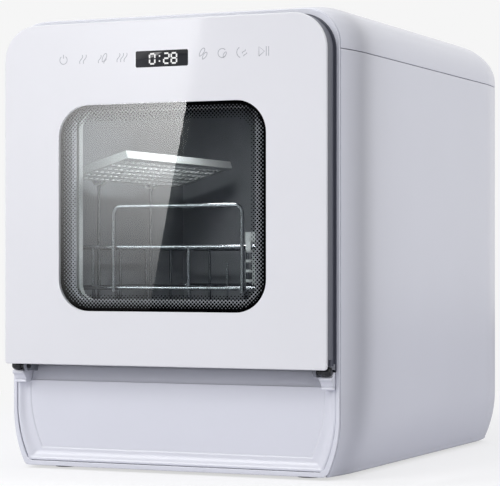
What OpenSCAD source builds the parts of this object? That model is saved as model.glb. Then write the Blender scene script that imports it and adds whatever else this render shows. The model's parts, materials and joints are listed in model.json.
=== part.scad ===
// Countertop dishwasher with a drop-down window door, wire basket and folding cup rack.
// Millimetres, +Z up, the door faces -Y. The origin is under the middle of the machine.

/* [Casing] */
// Greatest width of the casing
cabinet_w = 357; // [352:1:364]
// Height of the casing without its feet
cabinet_h = 440; // [436:1:450]
// Depth of the casing from its front rim to its back edge
cabinet_d = 481; // [478:1:500]
// Thickness of the moulded casing walls
wall = 2.5; // [2:0.1:3]
// Radius of the two upper corners
corner_r = 40; // [34:1:43]
// How far the casing draws in towards its front and back edges
taper = 6; // [4:0.5:7]
// Length over which it draws in
taper_l = 58; // [50:1:66]
// Rounding of the back edge
back_r = 6; // [4:0.5:8]
// Height over which the lower corners curve in
skirt_h = 55; // [45:1:65]
// How far the lower corners curve in
skirt_in = 13; // [10:0.5:14]
// Distance of the top cover's seam below the top
seam_drop = 44; // [44:0.5:50]
// Width of the dark seams between casing parts
seam = 0.6; // [0.4:0.1:1]
// Thickness of the front frame
frame_t = 2.4; // [2:0.1:3]
// Visible width of the rim round the kick panel
rim_w = 3.6; // [3:0.1:5]
// Height of the rubber feet below the casing
foot_h = 3; // [2:0.5:5]
// Radius of the rubber feet
foot_r = 12; // [9:0.5:15]

/* [Door] */
// Width of the door
door_w = 338; // [334:1:340]
// Height of the door's lower edge above the casing's underside
door_z0 = 100.2; // [99.5:0.1:101]
// Height of the door's upper edge above the casing's underside
door_z1 = 428.3; // [426:0.1:431]
// How far the door's glass stands in front of the rim
door_proud = 23; // [22:0.5:24]
// Radius of the door's upper corners
door_r = 34; // [28:1:38]
// Thickness of the outer glass
glass_t = 3.5; // [3:0.1:4]
// Half width of the clear opening through the door
view_half = 97; // [92:0.5:98]
// Lower edge of the clear opening
view_z0 = 163; // [160:0.5:168]
// Upper edge of the clear opening
view_z1 = 344; // [338:0.5:346]
// Corner radius of the clear opening
view_r = 15; // [10:0.5:20]
// Height of the hinge axis above the casing's underside
pivot_z = 98; // [97.8:0.1:98.2]
// How far the hinge axis lies in front of the rim
pivot_y = 8; // [7.5:0.1:8.5]
// Radius of the hinge pins
hinge_pin_r = 3; // [2.5:0.1:3.2]
// Running clearance of pins and shafts in their bores
running = 0.05; // [0.02:0.01:0.08]
// Width of the display
display_w = 55; // [50:1:60]
// Height of the display
display_h = 15.5; // [14:0.5:17]
// Height of the display's centre above the casing's underside
display_z = 391; // [389:0.5:393]

/* [Wash chamber] */
// Half width of the wash chamber inside
tub_half = 140; // [138:0.5:142]
// Height of the chamber's floor above the casing's underside
tub_floor = 114; // [113:0.5:115]
// Height of the chamber's ceiling above the casing's underside
tub_top = 386; // [382:0.5:387]
// Depth of the chamber's back wall behind the rim
tub_depth = 316; // [312:1:320]
// Corner radius of the chamber
tub_r = 12; // [10:1:15]
// Thickness of the chamber wall
tub_wall = 2; // [1.6:0.1:2.4]
// Half width of the chamber's mouth
mouth_half = 138; // [136:0.5:139]
// Depth of the spray arm's centre behind the rim
arm_y = 150; // [145:1:156]
// Length of each half of the spray arm
arm_l = 115; // [100:1:120]

/* [Basket] */
// Radius of the basket's frame wires
wire_r = 2; // [1.8:0.1:2.2]
// Radius of the basket's thin filling wires
thin_r = 1.3; // [1.1:0.1:1.5]
// Half width of the basket
basket_half = 124; // [121:0.5:126]
// Depth of the basket's front behind the rim
basket_y0 = 17; // [16:0.5:20]
// Depth of the basket's back behind the rim
basket_y1 = 280; // [270:1:290]
// Height of the basket's bottom wires
basket_z0 = 150; // [149:0.5:152]
// Height of the basket's middle wires
basket_zm = 174; // [170:0.5:178]
// Height of the basket's upper rim
basket_z1 = 213.5; // [208:0.5:218]
// How far the basket's bottom is set back from its front
basket_rake = 10; // [8:0.5:12]
// Half width of the loop handle
loop_half = 68.5; // [60:0.5:74]
// Height of the loop handle's top
loop_z = 253; // [246:0.5:258]
// Corner radius of the loop handle
loop_r = 8; // [6:0.5:12]
// How far the basket slides out
basket_travel = 130; // [120:1:132]

/* [Cup rack] */
// Width of the cup rack across its slope
rack_w = 70; // [60:1:76]
// Depth of the cup rack
rack_d = 245; // [220:1:250]
// Slope of the cup rack in use
rack_tilt = 17; // [14:0.5:20]
// Height of the cup rack's hinge axis
rack_z = 281; // [276:0.5:286]
// Thickness of the cup rack's plate
rack_t = 2.4; // [2:0.1:3]
// Height of the cup rack's raised rail
rack_rail_h = 8; // [6:0.5:10]

/* [Fill port] */
// Radius of the dish sunk in the top cover
dish_r = 34; // [32:0.5:38]
// Depth of the dish
dish_drop = 6; // [5.5:0.1:7]
// Radius of the fill lid
lid_r = 27; // [24:0.5:28]
// Radius of the filling hole
fill_r = 20; // [16:0.5:21]
// Depth of the filling hole behind the rim
fill_y = 392; // [385:1:396]

/* [Pumps] */
// Height of the wash pump's axis above the casing's underside
pump_z = 50; // [46:1:52]
// Depth of the wash pump's axis behind the rim
pump_y = 235; // [230:1:240]
// Radius of the wash pump's housing
volute_r = 34; // [32:0.5:35]
// Radius of the wash pump's motor
motor_r = 30; // [26:0.5:31]
// Radius of the sump
sump_r = 42; // [40:0.5:43]
// Side position of the sump
sump_x = 79; // [78:0.5:80]

/* [Hidden] */
$fn = 48;
eps = 0.01;
gap = 0.3;
big = 1000;

white = "#e4e5ee";
shell_white = "#dcdde6";
dark_grey = "#5d6069";
tub_grey = "#8d8f93";
steel = "#c9cbce";
black = "#1c1d20";
rubber = "#3a3b3e";
pale = "#d3d6da";
pump_grey = "#6f7378";

casing_half = cabinet_w / 2;
skirt_r = (skirt_h * skirt_h + skirt_in * skirt_in) / (2 * skirt_in);
edge_chamfer = 3;
taper_r = (taper_l * taper_l + taper * taper) / (2 * taper);
seam_z = cabinet_h - seam_drop;
casing_y0 = frame_t + seam;
back_plate_y = cabinet_d - 6;
back_plate_t = 2.5;
kick_top = door_z0 - 0.7;
kick_front = 2;
kick_flat_z0 = 14;
kick_crease = 83;
kick_half = casing_half - 20;
cove_half = kick_half - 8.5;
cover_x1 = casing_half - 10.1;
cover_x0 = cover_x1 - 12.4;
ear_x0 = cover_x0 - 5;
ear_t = 3;
knuckle_x = cover_x1 - 5.4;
knuckle_half = 4.5;
knuckle_r = 4.7;
knuckle_gap = 0.5;
door_back = 1.2;
door_side = 9.5;
liner_inset = 3;
plug_half = 130;
plug_z0 = tub_floor + 12;
plug_z1 = tub_top - 10;
plug_depth = 4;
shell_t = 2.5;
mouth_z0 = tub_floor + 4;
mouth_z1 = tub_top - 2;
mouth_r = 18;
flange_w = 8;
inner_glass_t = 4;
tongue_half = 8;
tongue_z0 = display_z + 16;
tongue_h = 6;
tongue_reach = 14;
rail_z0 = basket_z0 - 8;
rail_z1 = basket_z0 + 8;
rail_in = 9;
rail_lip = 3;
glide_len = 22;
glide_y = [170, basket_y1 - 23];
hub_r = 10;
spindle_r = 4;
arm_z0 = tub_floor + 3;
arm_top = tub_floor + 24;
basket_centre_y = (basket_y0 + basket_y1) / 2;
rack_x = -basket_half;
rack_y0 = basket_y0 + 4;
clip_y = [87, 204];
rack_pin_r = 2;
tank_x0 = -150;
tank_x1 = 75;
tank_y0 = tub_depth + tub_wall + gap;
tank_y1 = 450;
tank_z0 = 122;
tank_z1 = cabinet_h - dish_drop - 34;
tank_wall = 2.5;
neck_r = fill_r + 3;
pocket_x0 = -20;
pocket_x1 = 148;
pocket_z0 = 55;
pocket_z1 = 112;
pocket_deep = 24;
pocket_floor = back_plate_y - pocket_deep;
inlet_x = 60;
valve_y = 345;
valve_z = 88;
drain_x = 105;
gland_x = 8;
fitting_z = 90;
drain_r = 7;
fan_x = 113;
fan_z = 300;
fan_size = 66;
fan_t = 25;
cam_y = 20;
cam_z = tongue_z0 - 3;
cam_pin_r = 1.5;
dish_floor = cabinet_h - dish_drop;
lid_pivot_y = fill_y + lid_r + 2.3;
lid_pivot_z = cabinet_h - 3;
lid_pin_r = 1.5;
lug_r = 2.35;
pan_t = 2.5;
pan_wall_y = 46;
impeller_r = volute_r - 8;
pump_half = 12;
drain_pump_y = 287;
drain_pump_z = 55;
drain_pump_r = 22;
lamp_y = 90;
lamp_r = 16;
float_x = -100;
float_y = 120;
float_r = 14;
float_post_r = 3;
float_lift = 8;

// ---------- shared shapes ----------

function arc_points(cx, cy, r, a0, a1, n) =
    [for (i = [0:n]) let (a = a0 + (a1 - a0) * i / n) [cx + r * cos(a), cy + r * sin(a)]];

function mirrored(points) = [for (i = [len(points) - 1:-1:0]) [-points[i][0], points[i][1]]];

// Half width of the casing's straight flank and curved skirt at a height
function skirt_x(z, inset) = casing_half - inset - skirt_r
    + (z < skirt_h ? sqrt(skirt_r * skirt_r - pow(skirt_h - z, 2)) : skirt_r);

// Front view of the casing, drawn in by an inset
function casing_points(inset) =
    let (a0 = -asin((skirt_h - edge_chamfer) / skirt_r),
         hw = casing_half - inset,
         r = corner_r - inset,
         right = concat([[skirt_x(0, inset) - edge_chamfer, 0]],
             arc_points(hw - skirt_r, skirt_h, skirt_r, a0, 0, 7),
             arc_points(hw - r, cabinet_h - inset - r, r, 0, 90, 11)))
    concat(right, mirrored(right));

// How far the casing is drawn in at a distance from its front or back edge
function draw_in(u) = u >= taper_l ? 0 : taper_r - sqrt(taper_r * taper_r - pow(taper_l - u, 2));
function edge_round(u) = u >= back_r ? 0 : back_r - sqrt(back_r * back_r - pow(back_r - u, 2));

// Puts a front view drawn in the XY plane into the XZ plane, from depth y0 to y1
module upright(y0, y1)
    translate([0, y1, 0])
        rotate([90, 0, 0])
            linear_extrude(y1 - y0)
                children();

// Puts a side view, drawn with x as depth and y as height, across the width from x0 to x1
module across(x0, x1)
    translate([x0, 0, 0])
        rotate([90, 0, 90])
            linear_extrude(x1 - x0)
                children();

// Moves the drawing frame (rim plane, casing underside) into the part's own frame
module placed()
    translate([0, -(cabinet_d + door_proud) / 2 + door_proud, foot_h])
        children();

module round_rect(half, z0, z1, r)
    union() {
        translate([-half + r, z0])
            square([2 * (half - r), z1 - z0]);
        translate([-half, z0 + r])
            square([2 * half, z1 - z0 - 2 * r]);
        for (x = [-half + r, half - r], z = [z0 + r, z1 - r])
            translate([x, z])
                circle(r);
    }

module slab(x0, x1, y0, y1, z0, z1)
    translate([x0, y0, z0])
        cube([x1 - x0, y1 - y0, z1 - z0]);

module rod_x(x0, x1, y, z, r)
    translate([x0, y, z])
        rotate([0, 90, 0])
            cylinder(h = x1 - x0, r = r);

module rod_y(y0, y1, x, z, r)
    translate([x, y1, z])
        rotate([90, 0, 0])
            cylinder(h = y1 - y0, r = r);

module rod_z(z0, z1, x, y, r)
    translate([x, y, z0])
        cylinder(h = z1 - z0, r = r);

// Straight wire between two points
module wire(p, q, r)
    let (v = q - p, l = norm(v))
    translate(p)
        rotate([0, acos(v[2] / l), atan2(v[1], v[0])])
            rotate([0, 0, 22.5])
                cylinder(h = l, r = r, $fn = 8);

// ---------- casing ----------

// Shares of the taper's length at which the outline is drawn
front_stations = [0, 0.07, 0.17, 0.31, 0.48, 0.7, 1];
back_stations = [1, 0.7, 0.45, 0.24, 0.1, 0.045, 0.015, 0];

// Rings of the soft box from front to back: a depth and how far the outline is drawn in there
function soft_rings(inset, extra) = concat(
    [for (i = [0:len(front_stations) - 1])
        let (u = front_stations[i] * taper_l)
        [u - (i == 0 ? extra : 0), inset + draw_in(u)]],
    [for (i = [0:len(back_stations) - 1])
        let (u = back_stations[i] * taper_l)
        [cabinet_d - u + (u == 0 ? extra : 0), inset + draw_in(u) + edge_round(u)]]);

// The soft box that the casing is cut from, shrunk by an inset and lengthened at its open ends
module soft_box(inset, extra) {
    rings = soft_rings(inset, extra);
    count = len(casing_points(inset));
    last = len(rings) - 1;
    points = [for (r = rings) for (p = casing_points(r[1])) [p[0], r[0], p[1]]];
    sides = [for (k = [0:last - 1], i = [0:count - 1])
        let (j = (i + 1) % count, a = k * count, b = a + count)
        each [[a + i, b + j, b + i], [a + i, a + j, b + j]]];
    ends = [[for (i = [count - 1:-1:0]) i], [for (i = [0:count - 1]) last * count + i]];
    polyhedron(points, concat(sides, ends));
}

module casing_wall()
    difference() {
        soft_box(0, 0);
        difference() {
            soft_box(wall, 1);
            slab(-big, big, -big, big, -big, -1);
        }
        slab(-skirt_x(0, wall + edge_chamfer), skirt_x(0, wall + edge_chamfer), -1, cabinet_d + 1, -1, wall + 1);
    }

module top_cover()
    color(shell_white) placed()
        difference() {
            intersection() {
                casing_wall();
                slab(-big, big, casing_y0, cabinet_d, seam_z + seam / 2, cabinet_h + 1);
            }
            rod_z(dish_floor, cabinet_h + 1, 0, fill_y, dish_r + gap);
        }

module side_panel(side)
    color(white) placed()
        intersection() {
            casing_wall();
            if (side > 0)
                slab(1, big, casing_y0, cabinet_d, 0, seam_z - seam / 2);
            else
                slab(-big, -1, casing_y0, cabinet_d, 0, seam_z - seam / 2);
        }

module left_side_panel() side_panel(-1);
module right_side_panel() side_panel(1);

rear_gap_u = cabinet_d - back_plate_y - back_plate_t;
rear_inset = draw_in(rear_gap_u) + edge_round(rear_gap_u) + wall + gap;

module back_panel()
    color(shell_white) placed()
        difference() {
            union() {
                upright(back_plate_y, back_plate_y + back_plate_t)
                    polygon(casing_points(rear_inset));
                slab(pocket_x0 - wall, pocket_x1 + wall, pocket_floor - wall, back_plate_y + eps,
                    pocket_z0 - wall, pocket_z1 + wall);
            }
            slab(pocket_x0, pocket_x1, pocket_floor, cabinet_d, pocket_z0, pocket_z1);
            slab(-big, big, 0, cabinet_d, -1, pan_t + 0.5);
            rod_y(pocket_floor - 5, cabinet_d, inlet_x, fitting_z, drain_r + 3);
            rod_y(pocket_floor - 5, cabinet_d, drain_x, fitting_z, drain_r + 1);
            rod_y(pocket_floor - 5, cabinet_d, gland_x, fitting_z, 7);
            slab(fan_x - 29, fan_x + 29, 0, cabinet_d, fan_z - 29, fan_z + 29);
            for (p = screw_places)
                rod_y(0, cabinet_d, p[0], p[1], 1.8);
        }

screw_x = casing_half - rear_inset - 9;
screw_places = [[-screw_x, 90], [screw_x, 90], [-screw_x, 240], [screw_x, 240], [-screw_x, 372],
    [screw_x, 372], [-90, cabinet_h - rear_inset - 9], [90, cabinet_h - rear_inset - 9]];

// Pan-head screws that hold the back panel
module case_screws()
    color(steel) placed()
        for (p = screw_places)
            difference() {
                union() {
                    rod_y(back_plate_y + back_plate_t, back_plate_y + back_plate_t + 2, p[0], p[1], 3.6);
                    rod_y(back_plate_y - 8, back_plate_y + back_plate_t + eps, p[0], p[1], 1.75);
                }
                translate([p[0], back_plate_y + back_plate_t + 1.5, p[1]])
                    cube([4.4, 2, 0.9], center = true);
                translate([p[0], back_plate_y + back_plate_t + 1.5, p[1]])
                    cube([0.9, 2, 4.4], center = true);
            }

// Slatted outlet of the drying air
module rear_grille()
    color(dark_grey) placed()
        union() {
            difference() {
                slab(fan_x - 28.7, fan_x + 28.7, back_plate_y - 4, back_plate_y + back_plate_t, fan_z - 28.7, fan_z + 28.7);
                slab(fan_x - 26, fan_x + 26, 0, cabinet_d, fan_z - 26, fan_z + 26);
            }
            for (i = [0:6])
                translate([fan_x - 26.5, back_plate_y - 3.5, fan_z - 22 + i * 7.2])
                    rotate([35, 0, 0])
                        cube([53, 6.5, 1.6]);
        }

pan_half = skirt_x(0, wall + edge_chamfer) - gap;

module base_pan()
    color(pump_grey) placed()
        difference() {
            union() {
                slab(-pan_half, pan_half, casing_y0 + 8, cabinet_d - back_r - 1, 0, pan_t);
                difference() {
                    slab(-pan_half, pan_half, pan_wall_y, back_plate_y - gap, 0, 16);
                    slab(-pan_half + pan_t, pan_half - pan_t, pan_wall_y + pan_t, back_plate_y - gap - pan_t, -1, 17);
                }
            }
            for (p = foot_places)
                rod_z(-1, pan_t + 1, p[0], p[1], 3.1);
        }

foot_places = [[-130, 32], [130, 32], [-130, 430], [130, 430]];

module feet()
    color(rubber) placed()
        for (p = foot_places) {
            rod_z(-foot_h, 0, p[0], p[1], foot_r);
            rod_z(-eps, pan_t, p[0], p[1], 3);
            rod_z(pan_t, pan_t + 1.5, p[0], p[1], 4.2);
        }

module below_kick_top(top)
    intersection() {
        children();
        translate([-big, -1])
            square([2 * big, top + 1]);
    }

module front_frame()
    color(white) placed()
        difference() {
            upright(0, frame_t)
                polygon(casing_points(taper));
            upright(-1, frame_t + 1)
                round_rect(mouth_half, mouth_z0, mouth_z1, mouth_r);
            upright(-1, frame_t + 1)
                below_kick_top(kick_top)
                    translate([0, rim_w + 1])
                        polygon(casing_points(taper + rim_w));
            slab(-tongue_half - 2, tongue_half + 2, -1, frame_t + 1, tongue_z0 - 2, tongue_z0 + tongue_h + 3);
        }

// Outline that the kick panel fills, drawn in from the rim
module kick_outline(inset, top)
    below_kick_top(top)
        translate([0, rim_w + 1 + inset])
            polygon(casing_points(taper + rim_w + inset));

// Side view of the panel, its crease and the cove that runs back under the door
cove_y = 20;
kick_wall = 2.5;
kick_section = [[kick_front, kick_flat_z0 - 2], [kick_front, kick_crease], [cove_y, kick_top],
    [cove_y + kick_wall, kick_top], [cove_y + kick_wall, kick_top - 2],
    [kick_front + kick_wall, kick_crease - 1.5], [kick_front + kick_wall, kick_flat_z0 - 2]];

module kick_panel()
    color(white) placed()
        union() {
            across(-cove_half, cove_half)
                polygon(kick_section);
            // pad that stands forward of the sloped border
            difference() {
                hull() {
                    upright(kick_front, kick_front + eps)
                        kick_outline(10, kick_crease);
                    upright(kick_front + 2.3, kick_front + kick_wall)
                        kick_outline(7, kick_crease);
                }
                slab(-big, big, -1, 9, 80.6, 84);
            }
            slab(-cove_half - 1, cove_half + 1, kick_front, kick_front + kick_wall, 78, kick_crease);
            // sloped border that meets the rim
            difference() {
                upright(gap, 8)
                    kick_outline(gap, 80.6);
                hull() {
                    upright(0, eps)
                        kick_outline(gap + 0.6, 90);
                    upright(kick_front + 2.2, kick_front + 2.3)
                        kick_outline(8, 90);
                }
                upright(kick_front + kick_wall, 9)
                    kick_outline(4, 90);
            }
        }

// ---------- hinge ----------

hinge_y = -pivot_y;

// Side view of a hinge cover: a seat under the knuckle, a hollow front and a lip at its foot
module cover_profile()
    difference() {
        polygon([[hinge_y - 1.8, 96.6], [hinge_y - 1.8, 90.8], [-1.6, 84.4], [-2.6, 83.8], [-2.6, 81.2],
            [11, 81.2], [11, 97.4], [hinge_y, 97.4]]);
        translate([hinge_y, pivot_z])
            circle(knuckle_r + knuckle_gap);
        translate([hinge_y - 3.5, 83])
            circle(7.2);
    }

module hinge_cover(side)
    color(white) placed()
        if (side > 0)
            across(cover_x0, cover_x1)
                cover_profile();
        else
            across(-cover_x1, -cover_x0)
                cover_profile();

module left_hinge_cover() hinge_cover(-1);
module right_hinge_cover() hinge_cover(1);

// Steel arm that carries the hinge pin and stands on the base pan
module bracket_profile()
    difference() {
        union() {
            translate([hinge_y, pivot_z])
                circle(hinge_pin_r + 2);
            polygon([[hinge_y, pivot_z - hinge_pin_r - 2], [hinge_y, pivot_z + 1.2], [40, pivot_z + 1.2],
                [40, pan_t], [26.5, pan_t], [26.5, pivot_z - 14], [8, pivot_z - 5.2]]);
        }
        translate([hinge_y, pivot_z])
            circle(hinge_pin_r);
    }

module hinge_brackets()
    color(steel) placed()
        for (side = [-1, 1])
            union() {
                if (side > 0)
                    across(ear_x0, ear_x0 + ear_t)
                        bracket_profile();
                else
                    across(-ear_x0 - ear_t, -ear_x0)
                        bracket_profile();
                slab(side > 0 ? ear_x0 - 12 : -ear_x0 - eps, side > 0 ? ear_x0 + eps : -ear_x0 + 12, 28, 39.5, pan_t, pan_t + ear_t);
            }

module hinge_pins()
    color(steel) placed()
        for (side = [-1, 1])
            rod_x(side > 0 ? ear_x0 - 1 : -knuckle_x - knuckle_half - 0.5,
                side > 0 ? knuckle_x + knuckle_half + 0.5 : -ear_x0 + 1, hinge_y, pivot_z, hinge_pin_r);

// Barrel-shaped knuckle, with a lug that reaches up into the door
module knuckle_profile()
    polygon(concat([[hinge_pin_r + running, -knuckle_half]],
        [for (i = [0:8]) let (t = -1 + i / 4) [knuckle_r - 1.1 * t * t, knuckle_half * t]],
        [[hinge_pin_r + running, knuckle_half]]));

module door_knuckles()
    color(black) placed()
        for (side = [-1, 1])
            translate([side * knuckle_x, hinge_y, pivot_z])
                union() {
                    rotate([0, 90, 0])
                        rotate_extrude()
                            knuckle_profile();
                    translate([-3, -2.5, hinge_pin_r + 0.3])
                        cube([6, 7, door_lift - hinge_pin_r - 0.3]);
                }

// Height of the pocket's ceiling above the hinge axis, where the knuckle's lug ends
door_lift = 11.5;

// ---------- door ----------

module door_outline(inset)
    union() {
        hw = door_w / 2 - inset;
        rt = door_r - inset;
        rb = 3;
        translate([-hw, door_z0 + inset + rb])
            square([2 * hw, door_z1 - door_z0 - 2 * inset - rt - rb]);
        translate([-hw + rb, door_z0 + inset])
            square([2 * (hw - rb), rb + 1]);
        translate([-hw + rt, door_z1 - inset - rt - 1])
            square([2 * (hw - rt), rt + 1]);
        for (s = [-1, 1]) {
            translate([s * (hw - rt), door_z1 - inset - rt])
                circle(rt);
            translate([s * (hw - rb), door_z0 + inset + rb])
                circle(rb);
        }
    }

glass_back = -door_proud + glass_t;

module door_glass()
    color(white) placed()
        upright(-door_proud, glass_back)
            door_outline(0);

module view_rect(grow)
    round_rect(view_half + grow, view_z0 - grow, view_z1 + grow, view_r + grow);

display_half = display_w / 2 + 0.5;
seal_front = -9.5;
inner_glass_y0 = -7.7;
inner_glass_y1 = inner_glass_y0 + inner_glass_t;

module hinge_pockets(y0, y1, reach)
    for (side = [-1, 1])
        slab(side > 0 ? ear_x0 - 1.5 : -door_w, side > 0 ? door_w : -ear_x0 + 1.5, y0, y1, door_z0 - 1, pivot_z + reach);

module door_frame()
    color(dark_grey) placed()
        difference() {
            union() {
                difference() {
                    upright(glass_back, -door_side + 3)
                        door_outline(0.4);
                    upright(glass_back + shell_t, -door_side + 4)
                        door_outline(0.4 + shell_t);
                }
                upright(glass_back, seal_front)
                    view_rect(shell_t);
                // blocks that the hinge knuckles are fixed in
                for (side = [-1, 1])
                    slab(side > 0 ? ear_x0 - 4 : -door_w / 2 + 1, side > 0 ? door_w / 2 - 1 : -ear_x0 + 4,
                        glass_back + eps, -door_side + 3, door_z0 + 3.2, pivot_z + door_lift + 4);
            }
            upright(glass_back - 1, 0)
                view_rect(0);
            slab(display_x - display_half, display_x + display_half, glass_back - 1, glass_back + shell_t + 1,
                display_z - display_h / 2 - 0.5, display_z + display_h / 2 + 0.5);
            hinge_pockets(glass_back + 0.6, 0, door_lift);
        }

display_x = 1.7;

module touch_board()
    color("#2f5d46") placed()
        difference() {
            slab(-122, 122, glass_back + shell_t, glass_back + shell_t + 1.6, display_z - 17, display_z + 17);
            slab(display_x - display_half - 0.5, display_x + display_half + 0.5, glass_back, 0,
                display_z - display_h / 2 - 1, display_z + display_h / 2 + 1);
        }

module display_module()
    color(black) placed()
        union() {
            slab(display_x - display_w / 2, display_x + display_w / 2, glass_back + 0.05, glass_back + 7,
                display_z - display_h / 2, display_z + display_h / 2);
            slab(display_x - display_w / 2 - 4, display_x + display_w / 2 + 4, glass_back + shell_t + 1.6,
                glass_back + shell_t + 3.2, display_z - display_h / 2 - 4, display_z + display_h / 2 + 4);
        }

module window_seal()
    color(rubber) placed()
        difference() {
            upright(seal_front, inner_glass_y0)
                view_rect(shell_t);
            upright(seal_front - 1, inner_glass_y0 + 1)
                view_rect(0.4);
        }

module inner_glass()
    color([0.8, 0.85, 0.88, 0.4]) placed()
        upright(inner_glass_y0, inner_glass_y1)
            view_rect(7);

// Inner skin of the door, raised where it enters the mouth of the wash chamber
module door_liner()
    color(pale) placed()
        difference() {
            union() {
                upright(inner_glass_y1, -door_back)
                    door_outline(liner_inset);
                upright(-door_back - eps, plug_depth)
                    round_rect(plug_half, plug_z0, plug_z1, 14);
                // flange that fills the step beside the frame
                difference() {
                    upright(-door_side + 3, -door_back)
                        door_outline(liner_inset);
                    upright(-door_side, 0)
                        door_outline(liner_inset + shell_t);
                }
            }
            upright(-door_side, plug_depth + 1)
                view_rect(0);
            difference() {
                upright(-door_back - 10, plug_depth - shell_t)
                    round_rect(plug_half - shell_t, plug_z0 + shell_t, plug_z1 - shell_t, 14 - shell_t);
                upright(-door_back - 11, plug_depth)
                    view_rect(shell_t);
                upright(inner_glass_y1, -door_back)
                    difference() {
                        view_rect(9);
                        view_rect(0);
                    }
            }
            hinge_pockets(-door_side, 0, door_lift);
        }

// Tongue that enters the door lock
module door_tongue()
    color(black) placed()
        union() {
            slab(-tongue_half, tongue_half, -door_back, tongue_reach, tongue_z0, tongue_z0 + tongue_h);
            slab(-tongue_half - 5, tongue_half + 5, -door_back, -0.4, tongue_z0 - 1.5, tongue_z0 + tongue_h + 2.5);
        }

// ---------- door lock in the cabinet ----------

lock_y1 = 30;
lock_z0 = tongue_z0 - 10.5;
lock_z1 = tongue_z0 + tongue_h + 6;

module lock_case()
    color(rubber) placed()
        difference() {
            slab(-22, 22, frame_t, lock_y1, lock_z0, lock_z1);
            slab(-17, 17, frame_t - 1, lock_y1 - 2, lock_z0 + 2, lock_z1 - 2);
            rod_x(-30, 30, cam_y, cam_z, cam_pin_r);
        }

module lock_pin()
    color(steel) placed()
        rod_x(-21, 21, cam_y, cam_z, cam_pin_r);

// Sprung lever under the tongue that tells the lock that the door is shut
module lock_cam()
    color(pale) placed()
        difference() {
            union() {
                rod_x(-12, 12, cam_y, cam_z, 2.7);
                across(-6, 6)
                    polygon([[cam_y, cam_z - 1.2], [cam_y, cam_z + 2.4], [11, cam_z + 1.2], [9.5, cam_z + 3 - gap],
                        [7.5, cam_z + 3 - gap], [6.2, cam_z], [8, cam_z - 1.2]]);
            }
            rod_x(-20, 20, cam_y, cam_z, cam_pin_r + running);
        }

// ---------- wash chamber ----------

module tub()
    color(tub_grey) placed()
        difference() {
            union() {
                upright(frame_t, tub_depth + tub_wall)
                    round_rect(tub_half + tub_wall, tub_floor - tub_wall, tub_top + tub_wall, tub_r + tub_wall);
                upright(frame_t, frame_t + 2)
                    round_rect(tub_half + flange_w, tub_floor - flange_w, tub_top + flange_w, tub_r + flange_w);
            }
            upright(frame_t - 1, tub_depth)
                round_rect(tub_half, tub_floor, tub_top, tub_r);
            rod_z(tub_floor - 5, tub_floor + 5, 0, arm_y, hub_r);
            rod_z(tub_floor - 5, tub_floor + 5, sump_x, pump_y, sump_r - 5);
            rod_y(tub_depth - 5, tub_depth + 5, fan_x, fan_z, 20);
        }

module tub_gasket()
    color(rubber) placed()
        difference() {
            upright(-door_back + gap, frame_t)
                round_rect(mouth_half, mouth_z0, mouth_z1, mouth_r);
            upright(-2, frame_t + 1)
                round_rect(mouth_half - 5, mouth_z0 + 5, mouth_z1 - 5, mouth_r - 5);
        }

// Channels on the side walls that the basket's glides run in
module basket_rails()
    color(pale) placed()
        for (side = [-1, 1])
            difference() {
                slab(side > 0 ? tub_half - rail_in : -tub_half, side > 0 ? tub_half : -tub_half + rail_in,
                    frame_t + 14, tub_depth - 4, rail_z0, rail_z1);
                slab(side > 0 ? tub_half - rail_in - 1 : -tub_half + rail_lip,
                    side > 0 ? tub_half - rail_lip : -tub_half + rail_in + 1,
                    frame_t + 18, tub_depth - 8, rail_z0 + 4, rail_z1 - 4);
            }

module tub_lamp()
    color([0.95, 0.96, 0.9, 0.7]) placed()
        union() {
            rod_z(tub_top - 3, tub_top, 0, lamp_y, lamp_r);
            rod_z(tub_top - 4, tub_top - 3 + eps, 0, lamp_y, lamp_r - 4);
        }

// ---------- basket ----------

left_bar_x = -93;
mid_bar_x = 10.6;
mid_bar_r = wire_r - 0.3;
post_r = wire_r - 0.4;
// Uprights of the basket's front: side position and wire radius
front_uprights = [[left_bar_x, thin_r], [mid_bar_x, mid_bar_r], [-loop_half, thin_r], [loop_half, thin_r]];
back_x = [-90, -45, 0, 45, 90];
rake_y = basket_y0 + basket_rake;

bend_r = 10;

// Closed path of a basket hoop with bent corners, at one height
function hoop(z, y0) = [for (c = [[1, y0 + bend_r, -90], [1, basket_y1 - bend_r, 0], [-1, basket_y1 - bend_r, 90],
        [-1, y0 + bend_r, 180]])
    each [for (p = arc_points(c[0] * (basket_half - bend_r), c[1], bend_r, c[2], c[2] + 90, 4)) [p[0], p[1], z]]];

function unit(v) = v / norm(v);

// Eight-sided wire bent along points in a plane; its rings are mitred so that every run is straight
module bent_wire(points, r, plane, closed) {
    last = len(points) - 1;
    runs = [for (i = [0:last]) unit(points[(i + 1) % (last + 1)] - points[i])];
    rings = [for (i = [0:last])
        let (before = i == 0 ? (closed ? runs[last] : runs[0]) : runs[i - 1],
             after = i == last && !closed ? before : runs[i],
             way = unit(before + after),
             side = cross(way, plane) / (way * after))
        for (k = [0:7])
            points[i] + r * cos(22.5 + 45 * k) * side + r * sin(22.5 + 45 * k) * plane];
    skin = [for (i = [0:closed ? last : last - 1], k = [0:7])
        let (a = 8 * i, b = 8 * ((i + 1) % (last + 1)), n = (k + 1) % 8)
        each [[a + k, b + n, b + k], [a + k, a + n, b + n]]];
    caps = closed ? [] : [[for (k = [7:-1:0]) k], [for (k = [0:7]) 8 * last + k]];
    polyhedron(rings, concat(skin, caps));
}

side_bar_y = [75, 134, 193, 252];
floor_wire_y = [52, 82, 112, 142, 172, 202, 232, 258];

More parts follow.
